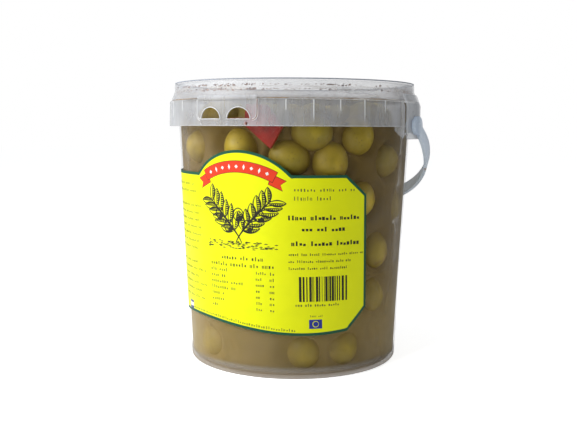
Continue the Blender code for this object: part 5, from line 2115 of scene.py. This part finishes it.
@dataclass
class Studio:
    """A plain pale floor, soft light and the camera."""

    view: float = radians(30.0)
    distance: float = 526.07 * MM
    eye_height: float = 144.995 * MM
    pitch: float = radians(6.166)
    yaw: float = radians(-0.367)
    roll: float = radians(0.299)
    focal_pixels: float = 814.7
    frame_pixels: int = 577
    ambient: float = 0.27
    key_power: float = 7.2
    floor_glow: float = 0.75

    def build_floor(self) -> None:
        """The floor, which isn't part of the object."""
        bpy.ops.mesh.primitive_plane_add(size=8.0, location=(0, 0, 0))
        floor = newest("floor")
        sketch = Sketch("floor_paint")
        clouds = sketch.noise(0.4, 2.0)
        sketch.set(
            Base_Color=sketch.mix(clouds, (0.93, 0.93, 0.93, 1), (0.96, 0.96, 0.96, 1)),
            Roughness=sketch.spread(clouds, 0.2, 0.8, 0.7, 0.8),
            Emission_Color=(1.0, 1.0, 1.0, 1.0),
        )
        path = sketch.tree.nodes.new("ShaderNodeLightPath")
        sketch.set(Emission_Strength=sketch.times(path.outputs["Is Camera Ray"], self.floor_glow))
        floor.data.materials.append(sketch.material)

    def build_world(self) -> None:
        """Even light from all round, and white behind the object."""
        world = bpy.data.worlds.new("studio")
        bpy.context.scene.world = world
        world.use_nodes = True
        tree = world.node_tree
        tree.nodes.clear()
        path = tree.nodes.new("ShaderNodeLightPath")
        light = tree.nodes.new("ShaderNodeBackground")
        light.inputs["Color"].default_value = (0.96, 0.98, 1.0, 1.0)
        light.inputs["Strength"].default_value = self.ambient
        backdrop = tree.nodes.new("ShaderNodeBackground")
        backdrop.inputs["Color"].default_value = (1.0, 1.0, 1.0, 1.0)
        mix = tree.nodes.new("ShaderNodeMixShader")
        output = tree.nodes.new("ShaderNodeOutputWorld")
        tree.links.new(path.outputs["Is Camera Ray"], mix.inputs[0])
        tree.links.new(light.outputs[0], mix.inputs[1])
        tree.links.new(backdrop.outputs[0], mix.inputs[2])
        tree.links.new(mix.outputs[0], output.inputs["Surface"])

    def add_light(self, name: str, azimuth: float, rise: float, size: Point, power: float) -> None:
        """Add a soft box that faces the pail.

        Args:
            name: its name.
            azimuth: where it stands, in degrees.
            rise: its height above the pail's middle, in degrees.
            size: its width and height.
            power: its power in watts.
        """
        light = bpy.data.lights.new(name, "AREA")
        light.shape = "RECTANGLE"
        light.size, light.size_y = size
        light.energy = power
        lamp = placed(name, light)
        middle = Vector((0, 0, 0.09))
        level = radians(rise)
        lamp.location = middle + at(radians(azimuth), cos(level), sin(level)) * 0.9
        lamp.rotation_euler = (lamp.location - middle).to_track_quat("Z", "Y").to_euler()

    def build_camera(self) -> None:
        """The camera at the photograph's place, with its tilt and its slight roll."""
        data = bpy.data.cameras.new("camera")
        data.sensor_fit = "HORIZONTAL"
        data.sensor_width = 36.0
        data.lens = 36.0 * self.focal_pixels / self.frame_pixels
        data.clip_start = 0.01
        camera = bpy.data.objects.new("camera", data)
        bpy.context.collection.objects.link(camera)
        across = Vector((cos(self.yaw), -sin(self.yaw), 0))
        ahead = Vector((sin(self.yaw), cos(self.yaw), 0))
        forward = ahead * cos(self.pitch) - Vector((0, 0, sin(self.pitch)))
        up = ahead * sin(self.pitch) + Vector((0, 0, cos(self.pitch)))
        rolled_across = across * cos(self.roll) + up * sin(self.roll)
        rolled_up = up * cos(self.roll) - across * sin(self.roll)
        axes = Matrix((rolled_across, rolled_up, -forward)).transposed().to_4x4()
        stand = Matrix.Translation((0, -self.distance, self.eye_height)) @ axes
        camera.matrix_world = Matrix.Rotation(self.view, 4, "Z") @ stand
        bpy.context.scene.camera = camera

    def build(self) -> None:
        """Set the studio up."""
        self.build_floor()
        self.build_world()
        self.add_light("key", -40, 30, (0.55, 0.55), self.key_power)
        self.add_light("strip", -4, 18, (0.08, 0.35), 1.2)
        self.add_light("fill", 116, 16, (0.3, 0.5), 0.75)
        self.build_camera()
        bpy.context.scene.view_settings.view_transform = "Standard"
        bpy.context.scene.cycles.transparent_max_bounces = 32
        bpy.context.scene.cycles.use_denoising = True


def main() -> None:
    """Build the studio and every piece."""
    logging.basicConfig(level=logging.INFO, format="%(relativeCreated)6d ms %(name)s %(message)s")
    Studio().build()
    label = Label()
    pepper = Pepper()
    pail = Pail()
    pieces = pail.build() + [Lid().build(), Bail().build(), pepper.build()] + ResidueAndPaintedLight().build(pail)
    pieces += Olives().build(label, pepper) + [Brine().build()] + label.build()
    LOG.info("%d pieces", len(pieces))


if __name__ == "__main__":
    main()
